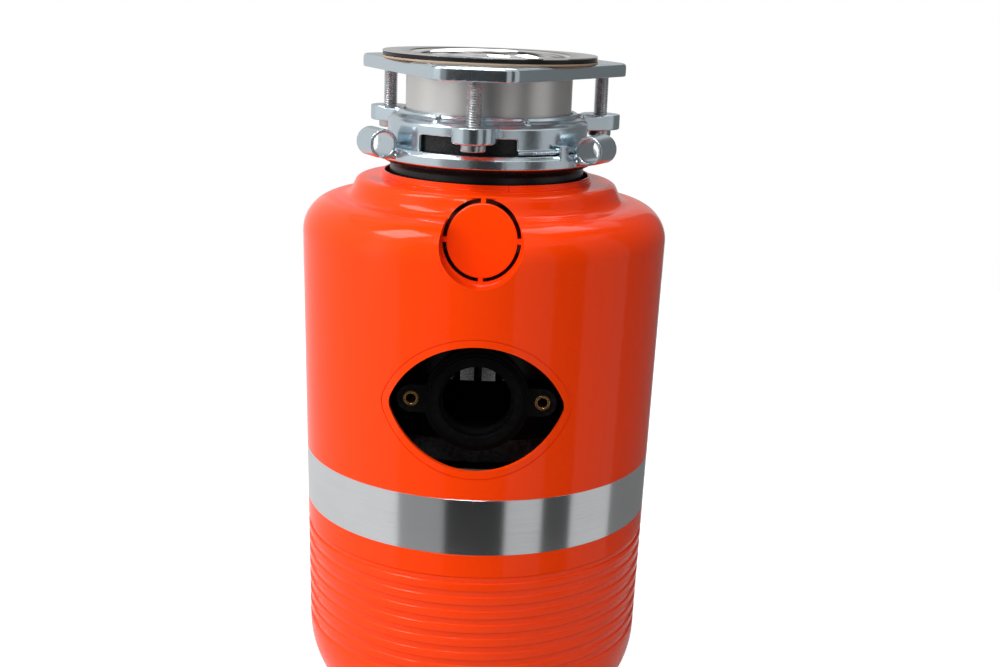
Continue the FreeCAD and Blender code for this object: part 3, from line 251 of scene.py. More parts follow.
# 1 along worn edges, broken up by noise
def makeWearGroup():
    tree, start, end = groupTree("edgeWear", [
        ("Vector", "NodeSocketVector", (0, 0, 0)), ("Amount", "NodeSocketFloat", 0.5)],
        [("Mask", "NodeSocketFloat")])
    geometry = tree.nodes.new("ShaderNodeNewGeometry")
    edge = addNode(tree, "ShaderNodeMapRange", Value=geometry.outputs["Pointiness"], n1=0.53, n2=0.62)
    noise = addNode(tree, "ShaderNodeTexNoise", Vector=start.outputs["Vector"], Scale=420.0, Detail=4.0)
    patchy = addNode(tree, "ShaderNodeMapRange", Value=noise.outputs["Fac"], n1=0.4, n2=0.62)
    both = addMath(tree, "MULTIPLY", edge.outputs[0], patchy.outputs[0])
    tree.links.new(addMath(tree, "MULTIPLY", both, start.outputs["Amount"], True), end.inputs["Mask"])
    return tree


# 1 where dust settles: faces that look up and inner corners
def makeDustGroup():
    tree, start, end = groupTree("settledDust", [
        ("Vector", "NodeSocketVector", (0, 0, 0)), ("Amount", "NodeSocketFloat", 0.3)],
        [("Mask", "NodeSocketFloat")])
    geometry = tree.nodes.new("ShaderNodeNewGeometry")
    normal = addNode(tree, "ShaderNodeSeparateXYZ", Vector=geometry.outputs["Normal"])
    upward = addNode(tree, "ShaderNodeMapRange", Value=normal.outputs["Z"], n1=0.55, n2=1.0)
    hollow = addNode(tree, "ShaderNodeMapRange", Value=geometry.outputs["Pointiness"], n1=0.48, n2=0.4)
    noise = addNode(tree, "ShaderNodeTexNoise", Vector=start.outputs["Vector"], Scale=160.0, Detail=6.0)
    settled = addMath(tree, "MAXIMUM", upward.outputs[0], hollow.outputs[0])
    broken = addMath(tree, "MULTIPLY", settled, noise.outputs["Fac"])
    tree.links.new(addMath(tree, "MULTIPLY", broken, start.outputs["Amount"], True), end.inputs["Mask"])
    return tree


grainGroup, wearGroup, dustGroup = makeGrainGroup(), makeWearGroup(), makeDustGroup()

# One entry for each slot: base and drift colours, lowest and highest roughness, metal, coat, grain stretch,
# fine and slow noise scale, bump in millimetres, edge wear and its colour, dust.
looks = {
    "satinSteel": dict(base=(0.74, 0.73, 0.71), drift=(0.66, 0.65, 0.63), rough=(0.30, 0.42), metal=1.0,
                       stretch=(1, 1, 12), fine=160, slow=40, bump=0.01, wear=0.1, dust=0.03),
    "polished_steel": dict(base=(0.80, 0.79, 0.78), drift=(0.72, 0.71, 0.70), rough=(0.04, 0.09), metal=1.0,
                           stretch=(4, 4, 60), fine=60, slow=18, bump=0.002, wear=0.1, dust=0.02),
    "black_rubber": dict(base=(0.004, 0.004, 0.0045), drift=(0.008, 0.008, 0.009), rough=(0.22, 0.36),
                         metal=0.0, specular=0.35, fine=1800, slow=40, bump=0.05, wear=0.15,
                         worn=(0.06, 0.06, 0.06), dust=0.06),
    "tan_fibre": dict(base=(0.30, 0.20, 0.13), drift=(0.50, 0.37, 0.27), rough=(0.65, 0.85), metal=0.0,
                      stretch=(1, 1, 3), fine=900, slow=120, bump=0.25, wear=0.4, worn=(0.62, 0.46, 0.3),
                      dust=0.1),
    "zinc_plate": dict(base=(0.70, 0.79, 0.84), drift=(0.58, 0.69, 0.76), rough=(0.17, 0.27), metal=1.0,
                       fine=1100, slow=45, bump=0.006, wear=0.4, worn=(0.86, 0.87, 0.88), dust=0.05),
    "screw_steel": dict(base=(0.60, 0.61, 0.62), drift=(0.46, 0.47, 0.48), rough=(0.20, 0.36), metal=1.0,
                        fine=1500, slow=90, bump=0.02, wear=0.5, worn=(0.8, 0.8, 0.8), dust=0.1),
    "spring_steel": dict(base=(0.40, 0.40, 0.41), drift=(0.30, 0.30, 0.31), rough=(0.24, 0.38), metal=1.0,
                         fine=1500, slow=90, bump=0.02, wear=0.3, worn=(0.6, 0.6, 0.6), dust=0.05),
    "orange_gloss": dict(base=(0.95, 0.052, 0.0005), drift=(0.90, 0.044, 0.0005), rough=(0.12, 0.17),
                         metal=0.0, specular=0.1, coat=0.24, coatRough=0.03, fine=500, slow=14, bump=0.0012,
                         wear=0.0, dust=0.01),
    "brushed_band": dict(base=(0.93, 0.94, 0.95), drift=(0.72, 0.73, 0.75), rough=(0.12, 0.17), metal=1.0,
                         stretch=(3, 3, 260), fine=9, slow=30, bump=0.012, wear=0.2, worn=(0.85, 0.85, 0.85),
                         dust=0.02),
    "black_plastic": dict(base=(0.0015, 0.0015, 0.0017), drift=(0.003, 0.003, 0.0032), rough=(0.26, 0.36),
                          metal=0.0, specular=0.16, fine=1400, slow=60, bump=0.01, wear=0.2,
                          worn=(0.03, 0.03, 0.03), dust=0.02),
    "brass": dict(base=(0.78, 0.52, 0.20), drift=(0.62, 0.38, 0.13), rough=(0.18, 0.32), metal=1.0,
                  fine=1500, slow=200, bump=0.03, wear=0.4, worn=(0.9, 0.7, 0.4), dust=0.1),
    "stainless": dict(base=(0.62, 0.62, 0.61), drift=(0.50, 0.50, 0.50), rough=(0.22, 0.38), metal=1.0,
                      stretch=(1, 1, 8), fine=420, slow=50, bump=0.03, wear=0.3, worn=(0.8, 0.8, 0.8),
                      dust=0.15),
    "shaft_steel": dict(base=(0.52, 0.52, 0.52), drift=(0.42, 0.42, 0.42), rough=(0.16, 0.28), metal=1.0,
                        stretch=(1, 1, 20), fine=300, slow=50, bump=0.02, wear=0.2, worn=(0.7, 0.7, 0.7),
                        dust=0.1),
    "core_steel": dict(base=(0.16, 0.16, 0.18), drift=(0.11, 0.11, 0.12), rough=(0.40, 0.58), metal=0.8,
                       stretch=(1, 1, 300), fine=8, slow=60, bump=0.3, wear=0.3, worn=(0.4, 0.4, 0.4),
                       dust=0.2),
    "copper": dict(base=(0.62, 0.24, 0.09), drift=(0.45, 0.15, 0.05), rough=(0.24, 0.40), metal=1.0, coat=0.4,
                   coatRough=0.2, stretch=(1, 1, 40), fine=60, slow=70, bump=0.4, wear=0.1,
                   worn=(0.8, 0.4, 0.2), dust=0.1),
    # cast_alloy: die-cast aluminium darkened nearly to black, a painted shade for the inside of the housing
    # where the end frame shows through the outlet window, not the metal's own grey
    "cast_alloy": dict(base=(0.07, 0.07, 0.075), drift=(0.04, 0.04, 0.045), rough=(0.45, 0.62), metal=0.9,
                       fine=900, slow=80, bump=0.15, wear=0.4, worn=(0.2, 0.2, 0.21), dust=0.02),
    "capacitor_can": dict(base=(0.66, 0.66, 0.67), drift=(0.58, 0.58, 0.59), rough=(0.25, 0.35), metal=1.0,
                          stretch=(30, 1, 1), fine=80, slow=60, bump=0.02, wear=0.2, worn=(0.8, 0.8, 0.8),
                          dust=0.1),
    "reset_red": dict(base=(0.55, 0.015, 0.010), drift=(0.46, 0.010, 0.008), rough=(0.24, 0.34), metal=0.0,
                      fine=900, slow=120, bump=0.03, wear=0.2, worn=(0.7, 0.15, 0.12), dust=0.08),
    "grey_foam": dict(base=(0.008, 0.008, 0.009), drift=(0.02, 0.02, 0.021), rough=(0.85, 0.98), metal=0.0,
                      fine=1100, slow=260, bump=0.8, wear=0.1, worn=(0.1, 0.1, 0.1), dust=0.2),
}


dustLook = {"colour": (0.42, 0.39, 0.35, 1), "rougher": 0.3}


def makeMaterial(name, look):
    material = bpy.data.materials.new(name)
    material.use_nodes = True
    tree = material.node_tree
    shader = tree.nodes["Principled BSDF"]
    spot = tree.nodes.new("ShaderNodeTexCoord").outputs["Object"]

    def group(kind, **sockets):
        node = tree.nodes.new("ShaderNodeGroup")
        node.node_tree = kind
        for key, value in sockets.items():
            node.inputs[key].default_value = value
        tree.links.new(spot, node.inputs["Vector"])
        return node

    grain = group(grainGroup, Stretch=look.get("stretch", (1, 1, 1)), Fine=look["fine"], Slow=look["slow"])
    wear = group(wearGroup, Amount=look["wear"])
    dust = group(dustGroup, Amount=look["dust"])

    def mixColour(share, first, second):
        node = tree.nodes.new("ShaderNodeMix")
        node.data_type = "RGBA"
        for socket, value in ((node.inputs[0], share), (node.inputs[6], first), (node.inputs[7], second)):
            if isinstance(value, bpy.types.NodeSocket):
                tree.links.new(value, socket)
            else:
                socket.default_value = value
        return node.outputs[2]

    both = addMath(tree, "ADD", addMath(tree, "MULTIPLY", grain.outputs["Grain"], 0.5),
                   addMath(tree, "MULTIPLY", grain.outputs["Drift"], 0.5))
    colour = mixColour(both, (*look["base"], 1), (*look["drift"], 1))
    colour = mixColour(wear.outputs["Mask"], colour, (*look.get("worn", look["base"]), 1))
    colour = mixColour(dust.outputs["Mask"], colour, dustLook["colour"])
    tree.links.new(colour, shader.inputs["Base Color"])
    rough = addNode(tree, "ShaderNodeMapRange", Value=both, n1=0.3, n2=0.7, n3=look["rough"][0],
                    n4=look["rough"][1]).outputs[0]
    rough = addMath(tree, "ADD", rough, addMath(tree, "MULTIPLY", dust.outputs["Mask"], dustLook["rougher"]))
    tree.links.new(rough, shader.inputs["Roughness"])
    shader.inputs["Metallic"].default_value = look["metal"]
    shader.inputs["Specular IOR Level"].default_value = look.get("specular", 0.5)
    shader.inputs["Coat Weight"].default_value = look.get("coat", 0.0)
    shader.inputs["Coat Roughness"].default_value = look.get("coatRough", 0.1)
    bump = addNode(tree, "ShaderNodeBump", Strength=1.0, Distance=look["bump"] * mm,
                   Height=grain.outputs["Grain"])
    tree.links.new(bump.outputs[0], shader.inputs["Normal"])
    return material


materials = {name: makeMaterial(name, look) for name, look in looks.items()}
for node in nodes.values():
    for index, material in enumerate(node.data.materials):
        known = material.name.split(".")[0] if material else ""
        if known in materials:
            node.data.materials[index] = materials[known]
print("materials ready")


def geometryTree(name, inputs):
    tree = bpy.data.node_groups.new(name, "GeometryNodeTree")
    tree.is_modifier = True
    tree.interface.new_socket("Geometry", in_out="INPUT", socket_type="NodeSocketGeometry")
    for label, kind in inputs:
        tree.interface.new_socket(label, in_out="INPUT", socket_type=kind)
    tree.interface.new_socket("Geometry", in_out="OUTPUT", socket_type="NodeSocketGeometry")
    return tree, tree.nodes.new("NodeGroupInput"), tree.nodes.new("NodeGroupOutput")


def finishTree(tree, end, geometry, material):
    solid = addNode(tree, "GeometryNodeRealizeInstances", Geometry=geometry)
    painted = addNode(tree, "GeometryNodeSetMaterial", Geometry=solid.outputs[0], Material=material)
    tree.links.new(painted.outputs[0], end.inputs[0])
    return tree


# copies of Piece: each one turned by Step, lifted by Rise and narrowed by Shrink after the one before
def makeRepeatTree():
    tree, start, end = geometryTree("repeatPiece", [
        ("Piece", "NodeSocketObject"), ("Count", "NodeSocketInt"), ("Turn", "NodeSocketFloat"),
        ("Step", "NodeSocketFloat"), ("Rise", "NodeSocketFloat"), ("Shrink", "NodeSocketFloat"),
        ("Material", "NodeSocketMaterial")])
    rise = addNode(tree, "ShaderNodeCombineXYZ", Z=start.outputs["Rise"])
    line = addNode(tree, "GeometryNodeMeshLine", Count=start.outputs["Count"], Offset=rise.outputs[0])
    index = tree.nodes.new("GeometryNodeInputIndex").outputs[0]
    turned = addMath(tree, "MULTIPLY_ADD", index, start.outputs["Step"])
    tree.links.new(start.outputs["Turn"], turned.node.inputs[2])
    turn = addNode(tree, "ShaderNodeCombineXYZ", Z=turned)
    narrow = addMath(tree, "SUBTRACT", 1.0, addMath(tree, "MULTIPLY", index, start.outputs["Shrink"]))
    size = addNode(tree, "ShaderNodeCombineXYZ", X=narrow, Y=narrow, Z=1.0)
    piece = addNode(tree, "GeometryNodeObjectInfo", Object=start.outputs["Piece"])
    copies = addNode(tree, "GeometryNodeInstanceOnPoints", Points=line.outputs[0],
                     Instance=piece.outputs["Geometry"], Rotation=turn.outputs[0], Scale=size.outputs[0])
    joined = tree.nodes.new("GeometryNodeJoinGeometry")
    tree.links.new(copies.outputs[0], joined.inputs[0])
    tree.links.new(start.outputs["Geometry"], joined.inputs[0])
    return finishTree(tree, end, joined.outputs[0], start.outputs["Material"])


# a screw thread: a triangle swept along a helix about the Z axis
def makeThreadTree():
    tree, start, end = geometryTree("screwThread", [
        ("Radius", "NodeSocketFloat"), ("Pitch", "NodeSocketFloat"), ("Turns", "NodeSocketFloat"),
        ("Depth", "NodeSocketFloat"), ("Material", "NodeSocketMaterial")])
    root = addMath(tree, "SUBTRACT", start.outputs["Radius"], start.outputs["Depth"])
    height = addMath(tree, "MULTIPLY", start.outputs["Pitch"], start.outputs["Turns"])
    helix = addNode(tree, "GeometryNodeCurveSpiral", Resolution=28, Rotations=start.outputs["Turns"],
                    Start_Radius=root, End_Radius=root, Height=height)
    upright = addNode(tree, "GeometryNodeSetCurveNormal", Curve=helix.outputs[0])
    upright.mode = "Z_UP"
    flank = addMath(tree, "MULTIPLY", start.outputs["Pitch"], 0.46)
    ridge = tree.nodes.new("GeometryNodeCurvePrimitiveCircle")
    ridge.mode = "RADIUS"
    ridge.inputs["Resolution"].default_value = 4
    ridge.inputs["Radius"].default_value = 1.0
    size = addNode(tree, "ShaderNodeCombineXYZ", X=start.outputs["Depth"], Y=flank, Z=1.0)
    shaped = addNode(tree, "GeometryNodeTransform", Geometry=ridge.outputs[0], Scale=size.outputs[0])
    swept = addNode(tree, "GeometryNodeCurveToMesh", Curve=upright.outputs[0],
                    Profile_Curve=shaped.outputs[0], Fill_Caps=True)
    joined = tree.nodes.new("GeometryNodeJoinGeometry")
    tree.links.new(swept.outputs[0], joined.inputs[0])
    tree.links.new(start.outputs["Geometry"], joined.inputs[0])
    return finishTree(tree, end, joined.outputs[0], start.outputs["Material"])


repeatTree, threadTree = makeRepeatTree(), makeThreadTree()


# runs a geometry tree on an object and keeps its mesh
def grow(obj, tree, **values):
    modifier = obj.modifiers.new("grow", "NODES")
    modifier.node_group = tree
    for item in tree.interface.items_tree:
        if item.item_type == "SOCKET" and item.in_out == "INPUT" and item.name in values:
            modifier[item.identifier] = values[item.name]
    return bake(obj)


# base with copies of piece round the axis or up it; angles in degrees, rise in millimetres
def repeated(base, piece, count, material, turn=0.0, step=0.0, rise=0.0, shrink=0.0):
    piece.hide_render = True
    done = grow(base, repeatTree, Piece=piece, Count=count, Turn=math.radians(turn), Step=math.radians(step),
                Rise=rise * mm, Shrink=shrink, Material=material)
    bpy.data.objects.remove(piece)
    return done


# place on a circle; turn in degrees from the front, anticlockwise from above
def circlePoint(radius, turn):
    angle = math.radians(turn)
    return radius * math.sin(angle), -radius * math.cos(angle)


taper = {"footRadius": 93.97, "footHeight": 52, "topRadius": 98.27, "topHeight": 276}


def taperRadius(height):
    slope = (taper["topRadius"] - taper["footRadius"]) / (taper["topHeight"] - taper["footHeight"])
    return taper["footRadius"] + slope * (height - taper["footHeight"])


# points on an arc from one angle to another, in degrees from +X
def arcPoints(x, z, radius, first, last, step=4):
    count = max(2, int(abs(last - first) / step) + 1)
    return [(x + radius * math.cos(math.radians(a)), z + radius * math.sin(math.radians(a)))
            for a in np.linspace(first, last, count)]


# points up the tapered wall
def ladder(low, high, step, inset=0.0):
    count = int(abs(high - low) / step) + 1
    return [(taperRadius(z) - inset, z) for z in np.linspace(low, high, count)]


cutFrom = -120  # y where cuts into the front begin, clear of the housing
window = {"height": 203.5, "halfWide": 43.8, "halfHigh": 32.4, "tip": 10, "lineGap": 4, "lineWide": 0.55,
          "lineDeep": 0.4, "lineFront": -115, "cutBack": -40}


# the outlet window as points (x, z), anticlockwise seen from the front
def lensOutline(margin, count=40):
    wide, high, tip = window["halfWide"] + margin, window["halfHigh"] + margin, window["tip"] + margin
    big = ((wide - tip) ** 2 + high ** 2 - tip ** 2) / (2 * (high - tip))
    reach = math.degrees(math.asin((wide - tip) / (big - tip)))
    points = [(big * math.sin(math.radians(a)), high - big + big * math.cos(math.radians(a)))
              for a in np.linspace(reach, -reach, count)]
    points += [(-(wide - tip) + tip * math.cos(math.radians(a)), tip * math.sin(math.radians(a)))
               for a in np.linspace(90 + reach, 270 - reach, 14)[1:-1]]
    points += [(-x, -z) for x, z in points[:count]]
    points += [(wide - tip + tip * math.cos(math.radians(a)), tip * math.sin(math.radians(a)))
               for a in np.linspace(-90 + reach, 90 - reach, 14)[1:-1]]
    return [(x, z + window["height"]) for x, z in points]


# solid from the outline (x, z); front and back give y for a point
def prism(name, outer, front, back):
    count = len(outer)
    verts = [(x, front(x, z), z) for x, z in outer] + [(x, back(x, z), z) for x, z in outer]
    faces = [tuple(range(count)), tuple(range(2 * count - 1, count - 1, -1))]
    faces += [(i, i + count, (i + 1) % count + count, (i + 1) % count) for i in range(count)]
    obj = newObject(name, verts, faces, None, None)
    fixNormals(obj)
    return obj


# ring between two outlines with the same number of points
def hollowPrism(name, outer, inner, front, back):
    count = len(outer)
    verts = []
    for outline in (outer, inner):
        verts += [(x, front(x, z), z) for x, z in outline] + [(x, back(x, z), z) for x, z in outline]
    faces = []
    for i in range(count):
        k = (i + 1) % count
        faces += [(i, k, k + 2 * count, i + 2 * count), (i + count, i + 3 * count, k + 3 * count, k + count),
                  (i, i + count, k + count, k), (i + 2 * count, k + 2 * count, k + 3 * count, i + 3 * count)]
    obj = newObject(name, verts, faces, None, None)
    fixNormals(obj)
    return obj


def carve(obj, cutters, operation="DIFFERENCE"):
    for cutter in cutters:
        modifier = obj.modifiers.new("carve", "BOOLEAN")
        modifier.operation = operation
        modifier.solver = "EXACT"
        modifier.object = cutter
        bake(obj)
        bpy.data.objects.remove(cutter)
    return obj


upper = {"lipRadius": 57, "lipBore": 54.8, "lipTop": 309, "deck": 305.4, "deckRadius": 66.3, "deckRound": 4.6,
         "valleyRadius": 73.4, "hipTop": 295, "hipRadius": 79.27, "hipRound": 19, "wall": 3,
         "joint": 141.4, "joggle": 0.8, "segments": 540, "seamTurn": 12.5, "seamSize": (0.5, 3.0, 6.0),
         "lipSoft": 0.25, "lipWall": 1.0, "lipHigh": 2.5, "deckRings": (59, 61, 63, 65), "coneStart": 71.3,
         "lipFoot": [(0.75, 2.25), (0.6, 2.2), (0.55, 1.3), (0.1, 1.15), (0, 1.0), (0, 0.3), (-0.3, 0)],
         "cone": (301, 299.8, 298.7, 297.9), "neckRadius": 67.3,
         "valleySweep": [(73.4, 297.25), (74, 296.6), (74.8, 296.0), (75.8, 295.5), (77, 295.15),
                         (78.2, 295.02)]}


# the outside from the edge of the deck down to the band
def upperSkin():
    size = upper
    edge, hip = size["deckRound"], size["hipRound"]
    skin = arcPoints(size["deckRadius"], size["deck"] - edge, edge, 88, 22)
    skin += list(zip(np.linspace(size["coneStart"], size["valleyRadius"] - 0.5, 4), size["cone"]))
    skin += size["valleySweep"]
    skin += arcPoints(size["hipRadius"], size["hipTop"] - hip, hip, 88, 2, 3)
    return skin + ladder(taper["topHeight"] - 0.4, bandHigh.z, 4)


def makeUpperHousing():
    size = upper
    wall, deck, hip = size["wall"], size["deck"], size["hipRound"]
    lip, bore, top, soft = (size[key] for key in ("lipRadius", "lipBore", "lipTop", "lipSoft"))
    joint, face = size["joint"], lip - size["lipWall"]
    profile = [(bore, top - soft), (bore + soft, top), (face - soft, top), (face, top - soft),
               (face, deck + size["lipHigh"])]
    profile += [(lip - inset, deck + rise) for inset, rise in size["lipFoot"]]
    profile += [(radius, deck) for radius in size["deckRings"]]
    profile += upperSkin()
    profile += [(taperRadius(bandHigh.z) - size["joggle"], bandHigh.z),
                (taperRadius(joint) - size["joggle"], joint), (taperRadius(joint) - wall, joint)]
    profile += ladder(joint + 6, taper["topHeight"] - 1, 8, wall)
    profile += arcPoints(size["hipRadius"], size["hipTop"] - hip, hip - wall, 4, 86, 8)
    profile += [(size["valleyRadius"], size["hipTop"] - wall), (size["valleyRadius"] - wall, size["hipTop"]),
                (size["neckRadius"], deck - wall), (bore, deck - wall)]
    shell = lathe("upperShell", profile, materials["orange_gloss"], size["segments"], None)

    lens = prism("lensCut", lensOutline(0), lambda x, z: cutFrom, lambda x, z: window["cutBack"])
    deep = window["lineDeep"]
    outer, inner = lensOutline(window["lineGap"]), lensOutline(window["lineGap"] - window["lineWide"])
    groove = hollowPrism("grooveCut", outer, inner, lambda x, z: window["lineFront"],
                         lambda x, z: -math.sqrt((taperRadius(z) - deep) ** 2 - x * x))
    pocket = prism("pocketCut", knockCircle(knock["recess"]), lambda x, z: cutFrom,
                   lambda x, z: knockPlane(z) + knock["cutDeep"])
    seamX, seamY = circlePoint(lip, size["seamTurn"])
    seam = boxAt("seamCut", (seamX, seamY, top), size["seamSize"], size["seamTurn"])
    carve(shell, [lens, groove, pocket, seam])
    shade(shell, 28)
    return place(joinInto("upperHousingShell", [shell, makeKnockOut()]), "upper_housing")


def boxAt(name, middle, sizes, turn=0):
    half = [s / 2 for s in sizes]
    angle = math.radians(turn)
    verts = []
    for sx in (-1, 1):
        for sy in (-1, 1):
            for sz in (-1, 1):
                x, y = sx * half[0], sy * half[1]
                verts.append((middle[0] + x * math.cos(angle) - y * math.sin(angle),
                              middle[1] + x * math.sin(angle) + y * math.cos(angle),
                              middle[2] + sz * half[2]))
    faces = [(0, 1, 3, 2), (4, 6, 7, 5), (0, 4, 5, 1), (2, 3, 7, 6), (0, 2, 6, 4), (1, 5, 7, 3)]
    obj = newObject(name, verts, faces, None, None)
    fixNormals(obj)
    return obj


knock = {"height": 285.1, "slotOut": 19.4, "slotIn": 17.4, "recess": 20.4, "lean": 20.4, "depth": 78.7,
         "plate": 2.4, "bridge": 2.4, "tube": 2.0, "round": 0.45, "proud": 2.2, "clear": 0.9, "cutDeep": 12,
         "lap": 0.02, "edgeLift": 0.8, "ringStep": 1.2, "slotLip": 0.1, "overlap": 0.5, "segments": 192}


# y of the leaning disc's face
def knockPlane(z):
    return -knock["depth"] + (z - knock["height"]) * math.tan(math.radians(knock["lean"]))


def knockCircle(radius, count=96):
    highest = upper["deck"] - knock["clear"]
    angles = [2 * math.pi * i / count for i in range(count)]
    return [(radius * math.sin(a), min(knock["height"] + radius * math.cos(a), highest)) for a in angles]


# y of the housing's outside where a line along Y meets it, beside the knock-out
def shellFront(x, z):
    skin = sorted((height, radius) for radius, height in upperSkin())
    radius = np.interp(z, [height for height, _ in skin], [reach for _, reach in skin])
    return -math.sqrt(max(radius ** 2 - x * x, 1))


# y of the disc's face, or of the housing's outside where the leaning plane has left it by more than proud
def knockFace(x, z, proud=0.0):
    return max(knockPlane(z), shellFront(x, z) - proud)


def addPocketWall(work, count, deckLow):
    rows = []
    for radius in (knock["recess"] + knock["lap"], knock["recess"] + knock["tube"]):
        outline = knockCircle(radius, count)
        fronts = [min(shellFront(x, z) + knock["edgeLift"], knockFace(x, z)) + knock["lap"]
                  for x, z in outline]
        front = [work.verts.new((x * mm, y * mm, min(z, deckLow) * mm)) for (x, z), y in zip(outline, fronts)]
        back = [work.verts.new((x * mm, (knockFace(x, z) + knock["plate"]) * mm, min(z, deckLow) * mm))
                for x, z in outline]
        rows.append((front, back))
    for i in range(count):
        k = (i + 1) % count
        for a, b in ((rows[0][0], rows[0][1]), (rows[1][1], rows[1][0]), (rows[1][0], rows[0][0]),
                     (rows[0][1], rows[1][1])):
            work.faces.new((a[i], a[k], b[k], b[i]))


# the disc that is broken out for a dishwasher hose, held by four bridges
def addDisc(work, count, deckLow):
    soft = knock["round"]
    face = list(np.arange(0, knock["slotIn"] - soft, knock["ringStep"]))
    rings = face + [knock["slotIn"] - soft, knock["slotIn"], knock["slotOut"],
                    knock["slotOut"] + knock["slotLip"], knock["recess"] + knock["overlap"]]
    drop = [0] * len(face) + [0, soft / 2, soft / 2, 0, 0]
    half = knock["bridge"] / 2
    spots, solid = {}, []
    for level, lift in enumerate((0.0, knock["plate"])):
        for r, radius in enumerate(rings):
            for i in range(count if r else 1):
                angle = 2 * math.pi * i / count
                x, z = radius * math.sin(angle), knock["height"] + radius * math.cos(angle)
                proud = knock["proud"] if radius <= knock["slotIn"] else 0
                y = knockFace(x, z, proud) + lift + (drop[r] if level == 0 else 0)
                spots[level, r, i] = work.verts.new((x * mm, y * mm, min(z, deckLow) * mm))

    def isSlot(r, i):
        middle = 2 * math.pi * (i + 0.5) / count
        offset = min(abs(math.sin(middle)), abs(math.cos(middle))) * (rings[r] + rings[r + 1]) / 2
        return rings[r] == knock["slotIn"] and offset > half

    def corner(level, r, i):
        return spots[level, r, i % count if r else 0]

    for r in range(len(rings) - 1):
        for i in range(count):
            if isSlot(r, i):
                continue
            solid.append((r, i))
            for level in (0, 1):
                quad = [corner(level, r, i), corner(level, r, i + 1), corner(level, r + 1, i + 1),
                        corner(level, r + 1, i)]
                work.faces.new(list(dict.fromkeys(quad)))
    filled = set(solid)
    for r, i in solid:
        for other, ends in (((r - 1, i), ((r, i), (r, i + 1))), ((r + 1, i), ((r + 1, i + 1), (r + 1, i))),
                            ((r, (i + 1) % count), ((r, i + 1), (r + 1, i + 1))),
                            ((r, (i - 1) % count), ((r + 1, i), (r, i)))):
            if other in filled or other[0] < 0:
                continue
            a, b = ends
            wall = [corner(0, *a), corner(0, *b), corner(1, *b), corner(1, *a)]
            if len(set(wall)) == 4 and (other[0] >= len(rings) - 1 or isSlot(*other)):
                work.faces.new(wall)


def makeKnockOut():
    work = bmesh.new()
    deckLow = upper["deck"] - knock["clear"]
    addPocketWall(work, knock["segments"], deckLow)
    addDisc(work, knock["segments"], deckLow)
    mesh = bpy.data.meshes.new("knockOut")
    bmesh.ops.recalc_face_normals(work, faces=work.faces)
    work.to_mesh(mesh)
    work.free()
    mesh.materials.append(materials["orange_gloss"])
    obj = bpy.data.objects.new("knockOut", mesh)
    bpy.context.scene.collection.objects.link(obj)
    shade(obj, 28)
    return obj


lower = {"ribTop": 110.6, "ribPitch": 7.85, "ribStep": 0.6, "ribLedge": 0.5, "ribSoft": 0.14, "ribs": 7,
         "groove": 3.6, "grooveSoft": 0.9, "sunk": 0.3, "ribRoot": 0.8, "bandEdge": 0.15, "bandBevel": 0.2,
         "endSoft": 0.46, "endHigh": 0.7, "bottomRound": 52, "opening": 60, "wall": 3, "joint": 141.1,
         "segments": 540}


def makeLowerHousing():
    size = lower
    wall, centre = size["wall"], taper["footRadius"] - size["bottomRound"]
    start = taper["footHeight"]
    ribLow = size["ribTop"] - size["ribs"] * size["ribPitch"]
    step = size["ribStep"]
    tilt = math.degrees(math.acos((size["opening"] - centre) / size["bottomRound"]))
    inTilt = math.degrees(math.acos((size["opening"] - centre) / (size["bottomRound"] - wall)))
    bandRadius, joggle = taperRadius(bandLow.z), upper["joggle"]
    profile = [(taperRadius(size["joint"]) - joggle, size["joint"]), (bandRadius - joggle, bandLow.z),
               (bandRadius - size["bandEdge"], bandLow.z), (bandRadius, bandLow.z - size["bandBevel"])]
    grooveTop = size["ribTop"] + size["groove"]
    profile += ladder(bandLow.z - 3, grooveTop, 3)
    profile += ladder(grooveTop - size["grooveSoft"], size["ribTop"] + 0.1, 3, step)
    profile += ladder(size["ribTop"] - 0.5, ribLow + 0.1, 6, step + size["sunk"])
    profile += [(taperRadius(ribLow) - step, ribLow), (taperRadius(ribLow) - 0.1, ribLow - size["endSoft"]),
                (taperRadius(ribLow), ribLow - size["endHigh"]), (taper["footRadius"], start)]
    profile += arcPoints(centre, start, size["bottomRound"], -2, -tilt, 2.5)
    profile += [(size["opening"], start - size["bottomRound"] * math.sin(math.radians(tilt)) + 0.01)]
    profile += arcPoints(centre, start, size["bottomRound"] - wall, -inTilt, 0, 6)
    profile += ladder(start + 4, size["joint"], 12, wall)
    shell = lathe("lowerHousingShell", profile, materials["orange_gloss"], size["segments"], 28)
    top, pitch = size["ribTop"], size["ribPitch"]
    outer = taperRadius(top)
    ledge, soft = size["ribLedge"], size["ribSoft"]
    grooveTop = top - pitch + size["groove"]
    lean = (outer - taperRadius(top - pitch)) / pitch
    face = [(outer - lean * (top - z), z) for z in np.linspace(top - ledge - 1, grooveTop, 3)]
    face += [(outer - lean * (top - z) - step * share, z) for z, share in (
        (grooveTop - size["grooveSoft"] / 2, 0.6), (grooveTop - size["grooveSoft"], 1.0), (top - pitch, 1.0))]
    rib = lathe("rib", [(outer - step - 0.4, top), (outer - step, top), (outer - soft, top - ledge + 0.06),
                        (outer - 0.04, top - ledge), (outer, top - ledge - soft)] + face
                + [(outer - step - size["ribRoot"], top - pitch), (outer - step - size["ribRoot"], top)],
                materials["orange_gloss"], size["segments"], None)
    slope = (outer - taperRadius(top - pitch)) / outer
    repeated(shell, rib, size["ribs"], materials["orange_gloss"], rise=-pitch, shrink=slope)
    shade(shell, 28)
    return place(shell, "lower_housing")


band = {"sheet": 0.75, "seam": 0.22, "seamDeep": 0.5, "seamTurn": 0.0, "edge": 0.15, "inset": 0.02,
        "trim": 0.05, "segments": 360}


